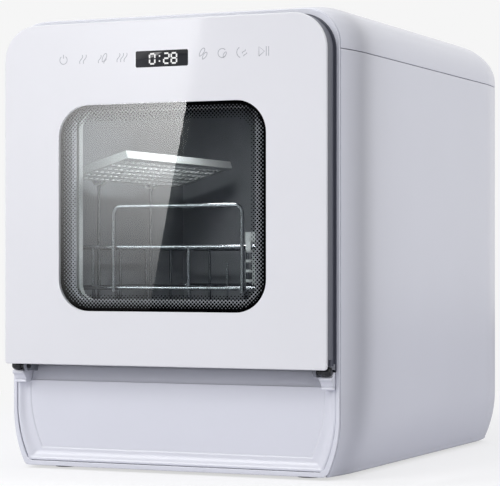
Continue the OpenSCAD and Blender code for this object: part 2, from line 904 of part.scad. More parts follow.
module basket()
    color(steel) placed()
        union() {
            for (h = [hoop(basket_z1, basket_y0), hoop(basket_zm, basket_y0), hoop(basket_z0, rake_y)])
                bent_wire(h, wire_r, [0, 0, 1], true);
            // uprights of the front, which lean back below the middle wire
            for (u = front_uprights) {
                wire([u[0], basket_y0, basket_zm], [u[0], basket_y0, basket_z1], u[1]);
                wire([u[0], rake_y, basket_z0], [u[0], basket_y0, basket_zm], u[1]);
            }
            for (x = back_x)
                wire([x, basket_y1, basket_z0], [x, basket_y1, basket_z1], thin_r);
            for (s = [-1, 1], y = side_bar_y)
                wire([s * basket_half, y, basket_z0], [s * basket_half, y, basket_z1], thin_r);
            // floor
            for (y = floor_wire_y)
                wire([-basket_half, y, basket_z0], [basket_half, y, basket_z0], thin_r);
            for (x = back_x)
                wire([x, rake_y, basket_z0 + 1], [x, basket_y1, basket_z0 + 1], thin_r * 0.9);
            // posts that carry the cup rack
            for (y = clip_y)
                wire([-basket_half, y, basket_z0], [-basket_half, y, rack_z - 5], post_r);
            for (y = clip_y)
                rod_y(y - 7, y + 7, rack_x, rack_z, rack_pin_r);
            for (y = clip_y)
                slab(rack_x - 2.5, rack_x + 2.5, y - 1.5, y + 1.5, rack_z - 6, rack_z + 1);
        }

// Loop that the basket is drawn out by, welded on the front wires
module basket_handle()
    color(steel) placed()
        bent_wire(concat([[loop_half, handle_y, basket_zm - 4]],
            [for (p = arc_points(loop_half - loop_r, loop_z - loop_r, loop_r, 0, 90, 4)) [p[0], handle_y, p[1]]],
            [for (p = arc_points(loop_r - loop_half, loop_z - loop_r, loop_r, 90, 180, 4)) [p[0], handle_y, p[1]]],
            [[-loop_half, handle_y, basket_zm - 4]]), wire_r, [0, 1, 0], false);

handle_y = basket_y0 - 2 * wire_r + 0.2;
tine_x = [18, 38, 58, 78, 98];
tine_y = [90, 190];

// Rows of bent wires that hold the plates apart
module plate_tines()
    color(steel) placed()
        for (y = tine_y) {
            wire([8, y, basket_z0 + 2 * thin_r + wire_r * 0.5], [108, y, basket_z0 + 2 * thin_r + wire_r * 0.5], thin_r);
            for (x = tine_x)
                wire([x, y, basket_z0 + 2 * thin_r + wire_r * 0.5], [x, y, basket_z0 + 48], thin_r * 0.9);
        }

// Plastic shoes round the bottom side wires that run in the rails
module basket_glides()
    color(pale) placed()
        for (s = [-1, 1], y = glide_y)
            difference() {
                slab(s > 0 ? basket_half - 3.5 : -tub_half + rail_lip + 0.4, s > 0 ? tub_half - rail_lip - 0.4 : -basket_half + 3.5,
                    y - glide_len / 2, y + glide_len / 2, basket_z0 - 3.6, basket_z0 + 3.6);
                rod_y(y - glide_len, y + glide_len, s * basket_half, basket_z0, wire_r);
                for (b = concat(side_bar_y, floor_wire_y))
                    slab(s > 0 ? basket_half - 5 : -basket_half - wire_r, s > 0 ? basket_half + wire_r : -basket_half + 5,
                        b - thin_r - 0.1, b + thin_r + 0.1, basket_z0 - thin_r - 0.1, basket_z0 + 4);
            }

comb_x0 = 66.8;
comb_x1 = 77;
comb_y = 27;
comb_stem_t = 3;
comb_peg_z = [181.2, 190.6, 200.1, 209.5];
comb_block_z0 = basket_z1 + 4.5;
comb_block_z1 = basket_z1 + 14;

// Plastic comb clipped on the front rim wire, with pegs that keep glasses apart
module side_comb()
    color(pale) placed()
        difference() {
            union() {
                slab(comb_x1 - comb_stem_t, comb_x1, comb_y - 2.5, comb_y + 2.5, comb_peg_z[0] - 4, comb_block_z1);
                slab(comb_x0, comb_x1, comb_y - 2.5, comb_y + 2.5, comb_block_z0, comb_block_z1);
                for (z = comb_peg_z)
                    slab(comb_x0, comb_x1 - eps, comb_y - 1.2, comb_y + 1.2, z - 1.3, z + 1.3);
                slab(comb_x1 - comb_stem_t - 2, comb_x1, basket_y0 - 3.4, comb_y, basket_z1 - 3, comb_block_z0 + eps);
            }
            rod_x(comb_x0, comb_x1 + 1, basket_y0, basket_z1, wire_r);
            slab(comb_x0, comb_x1 + 1, basket_y0 - wire_r * 0.9, basket_y0 + wire_r * 0.9, basket_z1 - 4, basket_z1);
        }

// ---------- cup rack ----------

rack_slots_x = 6;
rack_slots_y = 20;
rack_pitch_x = (rack_w - 12) / rack_slots_x;
rack_pitch_y = (rack_d - 14) / rack_slots_y;

module cup_rack()
    color(pale) placed()
        translate([rack_x, 0, rack_z])
            rotate([0, -rack_tilt, 0])
                difference() {
                    union() {
                        slab(4.5, rack_w, rack_y0, rack_y0 + rack_d, -rack_t / 2, rack_t / 2);
                        // raised rail on the front, back and free edge
                        slab(4.5, rack_w, rack_y0, rack_y0 + 3, -rack_t / 2, rack_rail_h - rack_t / 2);
                        slab(4.5, rack_w, rack_y0 + rack_d - 3, rack_y0 + rack_d, -rack_t / 2, rack_rail_h - rack_t / 2);
                        slab(rack_w - 3, rack_w, rack_y0, rack_y0 + rack_d, -rack_t / 2, rack_rail_h - rack_t / 2);
                        // hinge clips
                        for (y = clip_y, s = [-1, 1])
                            translate([0, y + s * 4.6, 0])
                                union() {
                                    rod_y(-2.4, 2.4, 0, 0, 4);
                                    slab(0, 6, -2.4, 2.4, -2.4, 2.4);
                                }
                    }
                    for (y = clip_y, s = [-1, 1])
                        rod_y(y + s * 4.6 - 3, y + s * 4.6 + 3, 0, 0, rack_pin_r + running);
                    for (i = [0:rack_slots_x - 1], j = [0:rack_slots_y - 1])
                        slab(8 + i * rack_pitch_x, 8 + (i + 1) * rack_pitch_x - 3,
                            rack_y0 + 7 + j * rack_pitch_y, rack_y0 + 7 + (j + 1) * rack_pitch_y - 3, -5, 5);
                }

// ---------- spray arm ----------

module spray_hub()
    color(pump_grey) placed()
        union() {
            rod_z(tub_floor - 14, arm_z0 + 9, 0, arm_y, hub_r);
            rod_z(tub_floor, tub_floor + 2, 0, arm_y, hub_r + 9);
            rod_z(arm_z0 + 9 - eps, arm_top + 7, 0, arm_y, spindle_r);
        }

module spray_arm()
    color(pale) placed()
        translate([0, arm_y, 0])
            difference() {
                union() {
                    rod_z(arm_z0, arm_top, 0, 0, hub_r + 4.5);
                    // two tapering blades with round ends
                    for (s = [0, 180])
                        rotate([0, 0, s])
                            hull() {
                                rod_z(arm_top - 12, arm_top - 1, 8, 0, 13, $fn = 32);
                                rod_z(arm_top - 9, arm_top - 2.5, arm_l - 8, 0, 8, $fn = 32);
                            }
                }
                rod_z(arm_z0 - 1, arm_z0 + 9.5, 0, 0, hub_r + running);
                rod_z(arm_z0, arm_top + 1, 0, 0, spindle_r + running);
                // jet slots in the upper face
                for (s = [0, 180], i = [0:4])
                    rotate([0, 0, s])
                        translate([32 + i * 17, i % 2 == 0 ? 2 : -2, arm_top - 3])
                            rotate([0, 0, 20])
                                cube([7, 1.6, 8], center = true);
            }

module arm_nut()
    color(pale) placed()
        difference() {
            union() {
                rod_z(arm_top + 0.3, arm_top + 6, 0, arm_y, 9);
                for (i = [0:5])
                    translate([0, arm_y, arm_top + 3.2])
                        rotate([0, 0, i * 60])
                            translate([9, 0, 0])
                                cube([2, 3, 5], center = true);
            }
            rod_z(arm_top, arm_top + 8, 0, arm_y, spindle_r);
        }

// ---------- sump and filter ----------

sump_z0 = 36;
stub_r = 12;
duct_r = 9;
cup_r = 24;

module sump()
    color(pump_grey) placed()
        difference() {
            union() {
                rod_z(sump_z0, tub_floor - tub_wall, sump_x, pump_y, sump_r);
                rod_z(tub_floor - tub_wall - 3, tub_floor - tub_wall, sump_x, pump_y, sump_r + 7);
                rod_x(sump_x - sump_r - 13, sump_x, pump_y, pump_z, stub_r);
                rod_y(pump_y, drain_pump_y, drain_x, drain_pump_z, 10);
                rod_y(pump_y, valve_y - 45, inlet_x, valve_z, 7);
            }
            rod_z(sump_z0 + 2.5, tub_floor, sump_x, pump_y, sump_r - 2.5);
            rod_x(sump_x - sump_r - 15, sump_x, pump_y, pump_z, duct_r);
            rod_y(pump_y, drain_pump_y + 1, drain_x, drain_pump_z, 7.5);
            rod_y(pump_y, valve_y - 44, inlet_x, valve_z, 5);
        }

module filter_plate()
    color(steel) placed()
        difference() {
            rod_z(tub_floor, tub_floor + 1.2, sump_x, pump_y, sump_r);
            rod_z(tub_floor - 1, tub_floor + 3, sump_x, pump_y, cup_r + 1);
            for (i = [0:23])
                translate([sump_x, pump_y, tub_floor])
                    rotate([0, 0, i * 15])
                        translate([28, -1, -1])
                            cube([9, 2, 4]);
        }

// Twist-out filter: a cup with long slots and a cross grip
module filter_cup()
    color(pale) placed()
        translate([sump_x, pump_y, 0])
            difference() {
                union() {
                    rod_z(58, tub_floor + 1.5, 0, 0, cup_r);
                    rod_z(tub_floor + 1.5, tub_floor + 3, 0, 0, cup_r + 3.5);
                }
                rod_z(60, tub_floor + 5, 0, 0, cup_r - 2);
                for (i = [0:11])
                    rotate([0, 0, i * 30])
                        translate([cup_r - 5, -2, 66])
                            cube([10, 4, 40]);
            }

// ---------- wash pump ----------

module wash_pump()
    color(pump_grey) placed()
        difference() {
            union() {
                rod_x(-pump_half, pump_half, pump_y, pump_z, volute_r);
                rod_x(pump_half - eps, pump_half + 10, pump_y, pump_z, stub_r);
                rod_z(pump_z, pump_z + volute_r + 5, 0, pump_y, duct_r + 2);
                rod_x(-pump_half - 70, -pump_half + eps, pump_y, pump_z, motor_r);
                rod_x(-pump_half - 76, -pump_half - 69, pump_y, pump_z, motor_r - 6);
            }
            rod_x(-pump_half + 2.5, pump_half - 2.5, pump_y, pump_z, volute_r - 5);
            rod_x(0, pump_half + 11, pump_y, pump_z, duct_r);
            rod_z(pump_z, pump_z + volute_r + 6, 0, pump_y, duct_r - 1);
            rod_x(-pump_half - 30, 0, pump_y, pump_z, 4 + running);
        }

// Impeller with curved vanes on a backing disc, and its shaft
module wash_impeller()
    color(pale) placed()
        translate([0, pump_y, pump_z])
            rotate([0, 90, 0])
                union() {
                    translate([0, 0, -7])
                        cylinder(h = 2, r = impeller_r);
                    translate([0, 0, -7])
                        cylinder(h = 12, r = 7);
                    translate([0, 0, -pump_half - 29])
                        cylinder(h = pump_half + 24, r = 4);
                    for (i = [0:5])
                        rotate([0, 0, i * 60])
                            translate([0, 0, -5.5])
                                linear_extrude(10)
                                    intersection() {
                                        difference() {
                                            translate([14, 4])
                                                circle(12);
                                            translate([14, 4])
                                                circle(10.2);
                                        }
                                        translate([5, -12])
                                            square([impeller_r - 7, 14]);
                                    }
                }

module suction_hose()
    color(rubber) placed()
        difference() {
            rod_x(pump_half + 1, sump_x - sump_r - 1, pump_y, pump_z, stub_r + 3);
            rod_x(pump_half, sump_x - sump_r, pump_y, pump_z, stub_r);
        }

heater_z = 96;
heater_r = 13;
heater_y0 = arm_y + 20;
heater_y1 = pump_y - 15;

// Flow-through heater between the pump and the spray arm
module heater()
    color(steel) placed()
        union() {
            rod_y(heater_y0, heater_y1, 0, heater_z, heater_r);
            for (y = [heater_y0 + 14, heater_y1 - 14])
                slab(heater_r - 3, heater_r + 9, y - 3, y + 3, heater_z - 1, heater_z + 1);
        }

// Rubber elbows at both ends of the heater
module feed_elbows()
    color(rubber) placed()
        union() {
            difference() {
                union() {
                    rod_y(heater_y1, pump_y, 0, heater_z, 10.5);
                    translate([0, pump_y, heater_z])
                        sphere(13.2);
                }
                rod_z(pump_z, pump_z + volute_r + 5, 0, pump_y, duct_r + 2);
            }
            difference() {
                union() {
                    rod_y(arm_y, heater_y0, 0, heater_z, 10.5);
                    translate([0, arm_y, heater_z])
                        sphere(13.2);
                }
                rod_z(tub_floor - 14, tub_floor, 0, arm_y, hub_r);
            }
        }

// Rubber cradle that carries the wash pump's motor
module pump_cradle()
    color(rubber) placed()
        difference() {
            slab(-70, -28, pump_y - 24, pump_y + 24, pan_t, pump_z - 12);
            rod_x(-80, -20, pump_y, pump_z, motor_r);
        }

// ---------- drain pump ----------

drain_pump_end = drain_pump_y + 28;

module drain_pump()
    color(pump_grey) placed()
        difference() {
            union() {
                rod_y(drain_pump_y, drain_pump_end, drain_x, drain_pump_z, drain_pump_r);
                rod_y(drain_pump_end - eps, drain_pump_end + 34, drain_x, drain_pump_z, drain_pump_r - 5);
                rod_z(drain_pump_z, fitting_z - drain_r, drain_x, drain_pump_y + 14, drain_r);
            }
            rod_y(drain_pump_y + 2.5, drain_pump_end - 2.5, drain_x, drain_pump_z, drain_pump_r - 3);
            rod_y(drain_pump_y - 1, drain_pump_y + 5, drain_x, drain_pump_z, 7.5);
            rod_y(drain_pump_end - 5, drain_pump_end + 16, drain_x, drain_pump_z, 2.5 + running);
        }

module drain_impeller()
    color(pale) placed()
        translate([drain_x, 0, drain_pump_z])
            union() {
                rod_y(drain_pump_y + 6, drain_pump_end - 5, 0, 0, 5);
                rod_y(drain_pump_end - 6, drain_pump_end + 15.5, 0, 0, 2.5);
                for (i = [0:3])
                    rotate([0, i * 90, 0])
                        slab(3, drain_pump_r - 5, drain_pump_y + 7, drain_pump_end - 7, -0.9, 0.9);
            }

// Drain line from the pump's spigot back to the rear fitting
module drain_hose()
    color(rubber) placed()
        difference() {
            union() {
                rod_y(drain_pump_y + 14, pocket_floor - wall, drain_x, fitting_z, drain_r);
                translate([drain_x, drain_pump_y + 14, fitting_z])
                    sphere(drain_r + 0.8);
            }
            slab(drain_x - 10, drain_x + 10, drain_pump_y, drain_pump_y + 30, 0, fitting_z - drain_r);
        }

// ---------- water tank and filling port ----------

module water_tank()
    color("#cfd6da") placed()
        difference() {
            union() {
                slab(tank_x0, tank_x1, tank_y0, tank_y1, tank_z0, tank_z1);
                rod_z(tank_z1 - eps, tank_z1 + 10, 0, fill_y, neck_r + 3);
            }
            slab(tank_x0 + tank_wall, tank_x1 - tank_wall, tank_y0 + tank_wall, tank_y1 - tank_wall,
                tank_z0 + tank_wall, tank_z1 - tank_wall);
            rod_z(tank_z1 - 5, tank_z1 + 11, 0, fill_y, neck_r);
            for (x = [tank_x0, tank_x1], y = [tank_y0, tank_y1])
                translate([x, y, 0])
                    rotate([0, 0, 45])
                        cube([10, 10, 2 * big], center = true);
            rod_z(tank_z0 - 1, tank_z0 + 4, inlet_x, valve_y, 4);
        }

// Valve between the tank and the sump
module fill_valve()
    color(pump_grey) placed()
        difference() {
            union() {
                slab(inlet_x - 11, inlet_x + 11, valve_y - 13, valve_y + 13, valve_z - 12, valve_z + 14);
                rod_z(valve_z + 14, tank_z0, inlet_x, valve_y, 7);
                rod_y(valve_y - 45, valve_y - 13, inlet_x, valve_z, 7);
            }
            rod_z(valve_z - 4, tank_z0 + 1, inlet_x, valve_y, 4);
            rod_y(valve_y - 46, valve_y, inlet_x, valve_z, 4);
        }

// Dish in the top cover that funnels water into the tank's neck and carries the lid's lugs
module fill_dish()
    color(shell_white) placed()
        difference() {
            union() {
                difference() {
                    rod_z(dish_floor - 2.5, cabinet_h, 0, fill_y, dish_r);
                    rod_z(dish_floor, cabinet_h + 1, 0, fill_y, dish_r - 1.5);
                }
                rod_z(tank_z1 + 10 - 8, dish_floor - 2, 0, fill_y, neck_r);
                for (x = [-8, 5]) {
                    rod_x(x, x + 3, lid_pivot_y, lid_pivot_z, lug_r);
                    slab(x, x + 3, lid_pivot_y - lug_r, lid_pivot_y + 1.7, dish_floor - 1, lid_pivot_z);
                }
            }
            rod_z(tank_z1, cabinet_h + 1, 0, fill_y, fill_r);
            rod_x(-10, 10, lid_pivot_y, lid_pivot_z, lid_pin_r);
        }

module fill_lid()
    color(shell_white) placed()
        difference() {
            union() {
                rod_z(dish_floor + gap + 1, cabinet_h - 0.5, 0, fill_y, lid_r);
                rod_x(-4.4, 4.4, lid_pivot_y, lid_pivot_z, 2.2);
                slab(-4.4, 4.4, fill_y + lid_r - 6, lid_pivot_y, lid_pivot_z - 1.7, lid_pivot_z + 2);
                // plug that enters the filling hole
                rod_z(dish_floor + gap - 2, dish_floor + gap + 2, 0, fill_y, fill_r - 4);
            }
            rod_x(-10, 10, lid_pivot_y, lid_pivot_z, lid_pin_r + running);
            // hollow for a fingertip
            translate([0, fill_y - lid_r, cabinet_h + 3])
                sphere(9);
        }

// ---------- rear connections, sealed in the back panel's pocket ----------

module rear_fittings()
    color(dark_grey) placed()
        union() {
            // threaded inlet with its valve body
            difference() {
                union() {
                    rod_y(pocket_floor - wall, back_plate_y, inlet_x, fitting_z, drain_r + 2.5);
                    slab(inlet_x - 14, inlet_x + 14, pocket_floor - wall - 36, pocket_floor - wall, fitting_z - 14, fitting_z + 14);
                    rod_z(fitting_z + 14 - eps, tank_z0, inlet_x, pocket_floor - wall - 18, 6);
                }
                rod_y(pocket_floor, back_plate_y + 1, inlet_x, fitting_z, drain_r);
            }
            // drain spigot
            difference() {
                union() {
                    rod_y(pocket_floor - wall, back_plate_y - 2, drain_x, fitting_z, drain_r);
                    rod_y(back_plate_y - 6, back_plate_y - 4, drain_x, fitting_z, drain_r + 1);
                }
                rod_y(pocket_floor - wall - 1, back_plate_y + 1, drain_x, fitting_z, drain_r - 2);
            }
            // gland for the mains lead
            difference() {
                union() {
                    rod_y(pocket_floor - wall - 5, pocket_floor + 12, gland_x, fitting_z, 6.5);
                    rod_y(pocket_floor, pocket_floor + 3, gland_x, fitting_z, 10);
                    slab(gland_x - 10, gland_x + 10, pocket_floor - wall - 8, pocket_floor - wall, fitting_z - 10, fitting_z + 10);
                }
                rod_y(pocket_floor - 20, pocket_floor + 13, gland_x, fitting_z, 3.6);
            }
        }

// ---------- leak float ----------

module leak_float()
    color("#e9e6df") placed()
        difference() {
            rod_z(pan_t + gap, pan_t + 9, float_x, float_y, float_r);
            rod_z(0, 30, float_x, float_y, float_post_r + running);
        }

module float_switch()
    color(rubber) placed()
        union() {
            rod_z(pan_t, pan_t + 22, float_x, float_y, float_post_r);
            slab(float_x - 12, float_x + 12, float_y - 7, float_y + 7, pan_t + 9 + float_lift + 1, pan_t + 32);
        }

// ---------- drying fan ----------

fan_y0 = tub_depth + tub_wall;

module fan_housing()
    color(rubber) placed()
        difference() {
            slab(fan_x - fan_size / 2, fan_x + fan_size / 2, fan_y0, fan_y0 + fan_t, fan_z - fan_size / 2, fan_z + fan_size / 2);
            rod_y(fan_y0 + 4, fan_y0 + fan_t + 1, fan_x, fan_z, fan_size / 2 - 3);
            difference() {
                rod_y(fan_y0 - 1, fan_y0 + 5, fan_x, fan_z, 20);
                rod_y(fan_y0 - 2, fan_y0 + 6, fan_x, fan_z, 9);
                slab(fan_x - 40, fan_x + 40, fan_y0 - 2, fan_y0 + 6, fan_z - 2, fan_z + 2);
                slab(fan_x - 2, fan_x + 2, fan_y0 - 2, fan_y0 + 6, fan_z - 40, fan_z + 40);
            }
            rod_y(fan_y0 + 1, fan_y0 + 6, fan_x, fan_z, 2 + running);
        }

module fan_rotor()
    color(black) placed()
        translate([fan_x, 0, fan_z])
            union() {
                rod_y(fan_y0 + 5, fan_y0 + fan_t - 3, 0, 0, 12);
                rod_y(fan_y0 + 1.3, fan_y0 + 6, 0, 0, 2);
                for (i = [0:6])
                    rotate([0, i * 360 / 7, 0])
                        translate([0, fan_y0 + 13, 0])
                            rotate([0, 90, 0])
                                rotate([0, 0, 38])
                                    translate([-0.8, -7.5, 10])
                                        cube([1.6, 15, fan_size / 2 - 16]);
            }

top_cover();
left_side_panel();
right_side_panel();
back_panel();
base_pan();
front_frame();
kick_panel();
left_hinge_cover();
right_hinge_cover();
hinge_brackets();
hinge_pins();
feet();
case_screws();
rear_grille();
tub();
tub_gasket();
basket_rails();
tub_lamp();
lock_case();
lock_pin();
lock_cam();
door_glass();
door_frame();
touch_board();
display_module();
window_seal();
inner_glass();
door_liner();
door_knuckles();
door_tongue();
basket();
basket_handle();
plate_tines();
basket_glides();
side_comb();
cup_rack();
spray_hub();
spray_arm();
arm_nut();
sump();
filter_plate();
filter_cup();
wash_pump();
wash_impeller();
suction_hose();
heater();
feed_elbows();
pump_cradle();
drain_pump();
drain_impeller();
drain_hose();
water_tank();
fill_valve();
fill_dish();
fill_lid();
rear_fittings();
leak_float();
float_switch();
fan_housing();
fan_rotor();
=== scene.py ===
import json
import math

import bmesh
import bpy
import numpy as np
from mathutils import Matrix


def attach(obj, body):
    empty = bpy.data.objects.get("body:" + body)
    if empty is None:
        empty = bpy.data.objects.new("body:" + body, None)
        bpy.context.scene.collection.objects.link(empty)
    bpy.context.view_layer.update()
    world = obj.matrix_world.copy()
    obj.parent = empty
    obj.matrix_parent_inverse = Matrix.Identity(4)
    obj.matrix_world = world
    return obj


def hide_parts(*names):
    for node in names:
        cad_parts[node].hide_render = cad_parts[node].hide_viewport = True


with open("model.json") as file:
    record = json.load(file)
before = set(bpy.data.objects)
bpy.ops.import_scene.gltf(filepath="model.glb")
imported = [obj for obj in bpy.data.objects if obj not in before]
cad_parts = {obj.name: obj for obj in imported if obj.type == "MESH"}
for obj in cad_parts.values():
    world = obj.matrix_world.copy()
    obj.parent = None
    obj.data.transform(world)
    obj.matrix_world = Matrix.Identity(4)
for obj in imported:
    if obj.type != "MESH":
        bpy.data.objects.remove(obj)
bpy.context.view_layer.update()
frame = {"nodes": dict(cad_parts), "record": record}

# ---------- camera ----------
# The photograph was taken from in front and to the right, 24 degrees off the door's normal and about 20 cm
# above the worktop, with a long lens held level and its frame shifted up.
scene = bpy.context.scene
heading = math.radians(23.9792)
focal_px, frame_px, film_mm = 2077.206, 500, 36
lens = bpy.data.cameras.new("studio_camera")
lens.sensor_width = film_mm
lens.lens = focal_px / frame_px * film_mm
lens.shift_y = 0.04107
lens.clip_start = 0.05
camera = bpy.data.objects.new("studio_camera", lens)
camera.location = (0.873372, -2.006844, 0.200671)
camera.rotation_euler = (math.pi / 2, 0, heading)
scene.collection.objects.link(camera)
scene.camera = camera
scene.view_settings.view_transform = "Standard"


# ---------- studio ----------
# A photographer's white cove: a pale floor that keeps a soft shadow, an even white room, large soft lamps
# and one tall card that the glossy door mirrors.
def srgb(code):
    """Linear colour of an sRGB hex code: each channel c becomes ((c + 0.055) / 1.055) ** 2.4."""
    c = np.array([int(code[i:i + 2], 16) / 255 for i in (1, 3, 5)])
    c = np.where(c <= 0.04045, c / 12.92, ((c + 0.055) / 1.055) ** 2.4)
    return (*c.tolist(), 1.0)


def add(tree, kind, sockets=(), **settings):
    """Adds a node: settings are its own values, and sockets maps an input to a value or to the socket
    that feeds it."""
    made = tree.nodes.new(kind)
    for name, value in settings.items():
        setattr(made, name, value)
    for key, value in dict(sockets).items():
        if isinstance(value, bpy.types.NodeSocket):
            tree.links.new(value, made.inputs[key])
        else:
            made.inputs[key].default_value = value
    return made


def blank(name):
    """A material with an empty node tree: returns it, its tree, its surface socket and the socket of a
    point's place on its own piece."""
    made = bpy.data.materials.new(name)
    made.use_nodes = True
    tree = made.node_tree
    tree.nodes.clear()
    surface = add(tree, "ShaderNodeOutputMaterial").inputs["Surface"]
    return made, tree, surface, add(tree, "ShaderNodeTexCoord").outputs["Object"]


def put(name, points, faces, smooth=True):
    """A mesh object at the origin from an array of points in metres and a list of faces."""
    mesh = bpy.data.meshes.new(name)
    mesh.from_pydata(np.asarray(points, float).tolist(), [], [list(map(int, f)) for f in faces])
    mesh.update()
    mesh.polygons.foreach_set("use_smooth", np.full(len(mesh.polygons), smooth))
    made = bpy.data.objects.new(name, mesh)
    scene.collection.objects.link(made)
    return made


white_out = "#F6F6F6"
world = bpy.data.worlds.new("white_room")
scene.world = world
world.use_nodes = True
room = world.node_tree
room.nodes.clear()
way = add(room, "ShaderNodeTexCoord")
height = add(room, "ShaderNodeSeparateXYZ", {0: way.outputs["Generated"]})
glow = add(room, "ShaderNodeMapRange", {"Value": height.outputs["Z"], "From Min": -0.3, "From Max": 0.9,
                                        "To Min": 0.30, "To Max": 0.62})
ambient = add(room, "ShaderNodeBackground", {"Color": srgb("#F2F3F8"), "Strength": glow.outputs["Result"]})
plain = add(room, "ShaderNodeBackground", {"Color": srgb(white_out), "Strength": 1.0})
ray = add(room, "ShaderNodeLightPath")
seen = add(room, "ShaderNodeMath", {0: ray.outputs["Is Camera Ray"], 1: ray.outputs["Is Transmission Ray"]},
           operation="MAXIMUM")
any_way = add(room, "ShaderNodeMath", {0: seen.outputs[0], 1: ray.outputs["Is Glossy Ray"]},
              operation="MAXIMUM")
mixed = add(room, "ShaderNodeMixShader", {0: any_way.outputs[0], 1: ambient.outputs[0], 2: plain.outputs[0]})
add(room, "ShaderNodeOutputWorld", {"Surface": mixed.outputs[0]})

# Matt white paper: the lens sees it as bright as the room, with the machine's own soft shadow near it.
floor_paint, tree, out, spot = blank("cove_paint")
path = add(tree, "ShaderNodeLightPath")
reach = add(tree, "ShaderNodeVectorMath", {0: spot}, operation="LENGTH")
shadow_near, shadow_far = 0.45, 1.1
near = add(tree, "ShaderNodeMapRange", {"Value": reach.outputs["Value"], "From Min": shadow_near,
                                        "From Max": shadow_far}, interpolation_type="SMOOTHSTEP")
lit = add(tree, "ShaderNodeBsdfDiffuse", {"Color": srgb("#9A9A9C")})
own = add(tree, "ShaderNodeEmission", {"Color": srgb(white_out), "Strength": 0.7})
shaded = add(tree, "ShaderNodeAddShader", {0: lit.outputs[0], 1: own.outputs[0]})
flat = add(tree, "ShaderNodeEmission", {"Color": srgb(white_out), "Strength": 1.0})
faded = add(tree, "ShaderNodeMixShader", {0: near.outputs["Result"], 1: shaded.outputs[0],
                                          2: flat.outputs[0]})
pale = add(tree, "ShaderNodeBsdfDiffuse", {"Color": srgb("#DDDDE2")})
told = add(tree, "ShaderNodeMixShader", {0: path.outputs["Is Camera Ray"], 1: pale.outputs[0],
                                         2: faded.outputs[0]})
tree.links.new(told.outputs[0], out)
reach_m = 6
reach_way = ((-1, -1), (1, -1), (1, 1), (-1, 1))
floor = put("cove_floor", [(x * reach_m, y * reach_m, 0) for x, y in reach_way], [(0, 1, 2, 3)], smooth=False)
floor.data.materials.append(floor_paint)


def soft_lamp(name, place, aim, size, power, colour="#FFFFFF"):
    """A square softbox at a place in metres that faces a point."""
    light = bpy.data.lights.new(name, "AREA")
    light.shape = "RECTANGLE"
    light.size, light.size_y = size
    light.energy = power
    light.color = srgb(colour)[:3]
    made = bpy.data.objects.new(name, light)
    made.location = place
    toward = np.array(aim, float) - np.array(place, float)
    made.rotation_euler = (math.acos(-toward[2] / np.linalg.norm(toward)), 0,
                           math.atan2(toward[1], toward[0]) - math.pi / 2)
    scene.collection.objects.link(made)


soft_lamp("key_box", (-1.1, -2.2, 1.7), (0, 0, 0.25), (1.6, 1.6), 42)
soft_lamp("top_box", (0.1, 0.1, 2.0), (0, 0, 0), (1.8, 1.8), 8)
soft_lamp("side_box", (2.3, -0.2, 0.9), (0.1, 0, 0.25), (1.2, 1.6), 10)

# A narrow flag of black cloth stands beside the right flank. Only light and gloss meet it, and it draws the
# soft dark line behind the flank's front edge.
flag_cloth, tree, out, _ = blank("black_flag_cloth")
cloth = add(tree, "ShaderNodeBsdfDiffuse", {"Color": srgb("#050505")})
tree.links.new(cloth.outputs[0], out)
flag_edge = [(-0.168, 0.5), (-0.168, 0.13), (-0.175, 0.08), (-0.190, 0.03), (-0.238, 0.02), (-0.215, 0.08),
             (-0.205, 0.13), (-0.205, 0.5)]
flag_x = 0.245
flag = put("black_flag", [(flag_x, y, z) for y, z in flag_edge], [range(len(flag_edge))], smooth=False)
flag.data.materials.append(flag_cloth)
flag.visible_camera = flag.visible_transmission = False


# ---------- casing ----------
# Three injection-moulded ABS shells, satin white with a cold cast: the top cover down to the seam, and two
# side shells whose foot curves in. They draw in on an arc toward the front and the back.
def placed(points):
    """Turns drawing millimetres (rim plane, underside of the casing) into the part's frame in metres."""
    return (np.asarray(points, float) + (0.0, -229.0, 3.0)) / 1000


casing_w, casing_h, casing_d = 357.0, 440.0, 481.0
corner_r, skirt_h, skirt_in, toe_w, toe_h, wall = 40.0, 55.0, 13.0, 2.4, 3.0, 2.5
taper, taper_l, back_r, seam = 6.0, 58.0, 6.0, 0.6
shell_front, edge_r, cover_h = 3.0, 0.5, 44.0
past_edge = edge_r * 1.05
seam_z = casing_h - cover_h
skirt_r = (skirt_h ** 2 + skirt_in ** 2) / (2 * skirt_in)
taper_r = (taper_l ** 2 + taper ** 2) / (2 * taper)


def half_outline():
    """Right half of the casing seen from the front, from the foot over the flank to the middle of the top:
    base points, and the way each point moves when the outline is drawn in by one millimetre."""
    hw = casing_w / 2
    foot = math.asin((skirt_h - toe_h) / skirt_r)
    a = np.linspace(-foot, 0, 26)
    skirt = np.c_[hw - skirt_r + skirt_r * np.cos(a), skirt_h + skirt_r * np.sin(a)]
    toe_x = skirt[0, 0] - toe_w
    b = np.linspace(-90, 0, 7)[:-1] * math.pi / 180
    toe = np.c_[toe_x + toe_w * np.cos(b), toe_h + toe_h * np.sin(b)]
    flank = np.c_[np.full(30, hw), np.linspace(skirt_h, casing_h - corner_r, 32)[1:-1]]
    c = np.linspace(0, math.pi / 2, 28)
    turn = np.c_[hw - corner_r + corner_r * np.cos(c), casing_h - corner_r + corner_r * np.sin(c)]
    top = np.c_[np.linspace(hw - corner_r, 0, 16)[1:], np.full(15, casing_h)]
    base = np.vstack([toe, skirt, flank, turn, top])
    side = np.vstack([np.tile((-1.0, 0.0), (len(toe) + len(skirt) + len(flank), 1)),
                      np.c_[-np.cos(c), -np.sin(c)], np.tile((0.0, -1.0), (len(top), 1))])
    return base, side


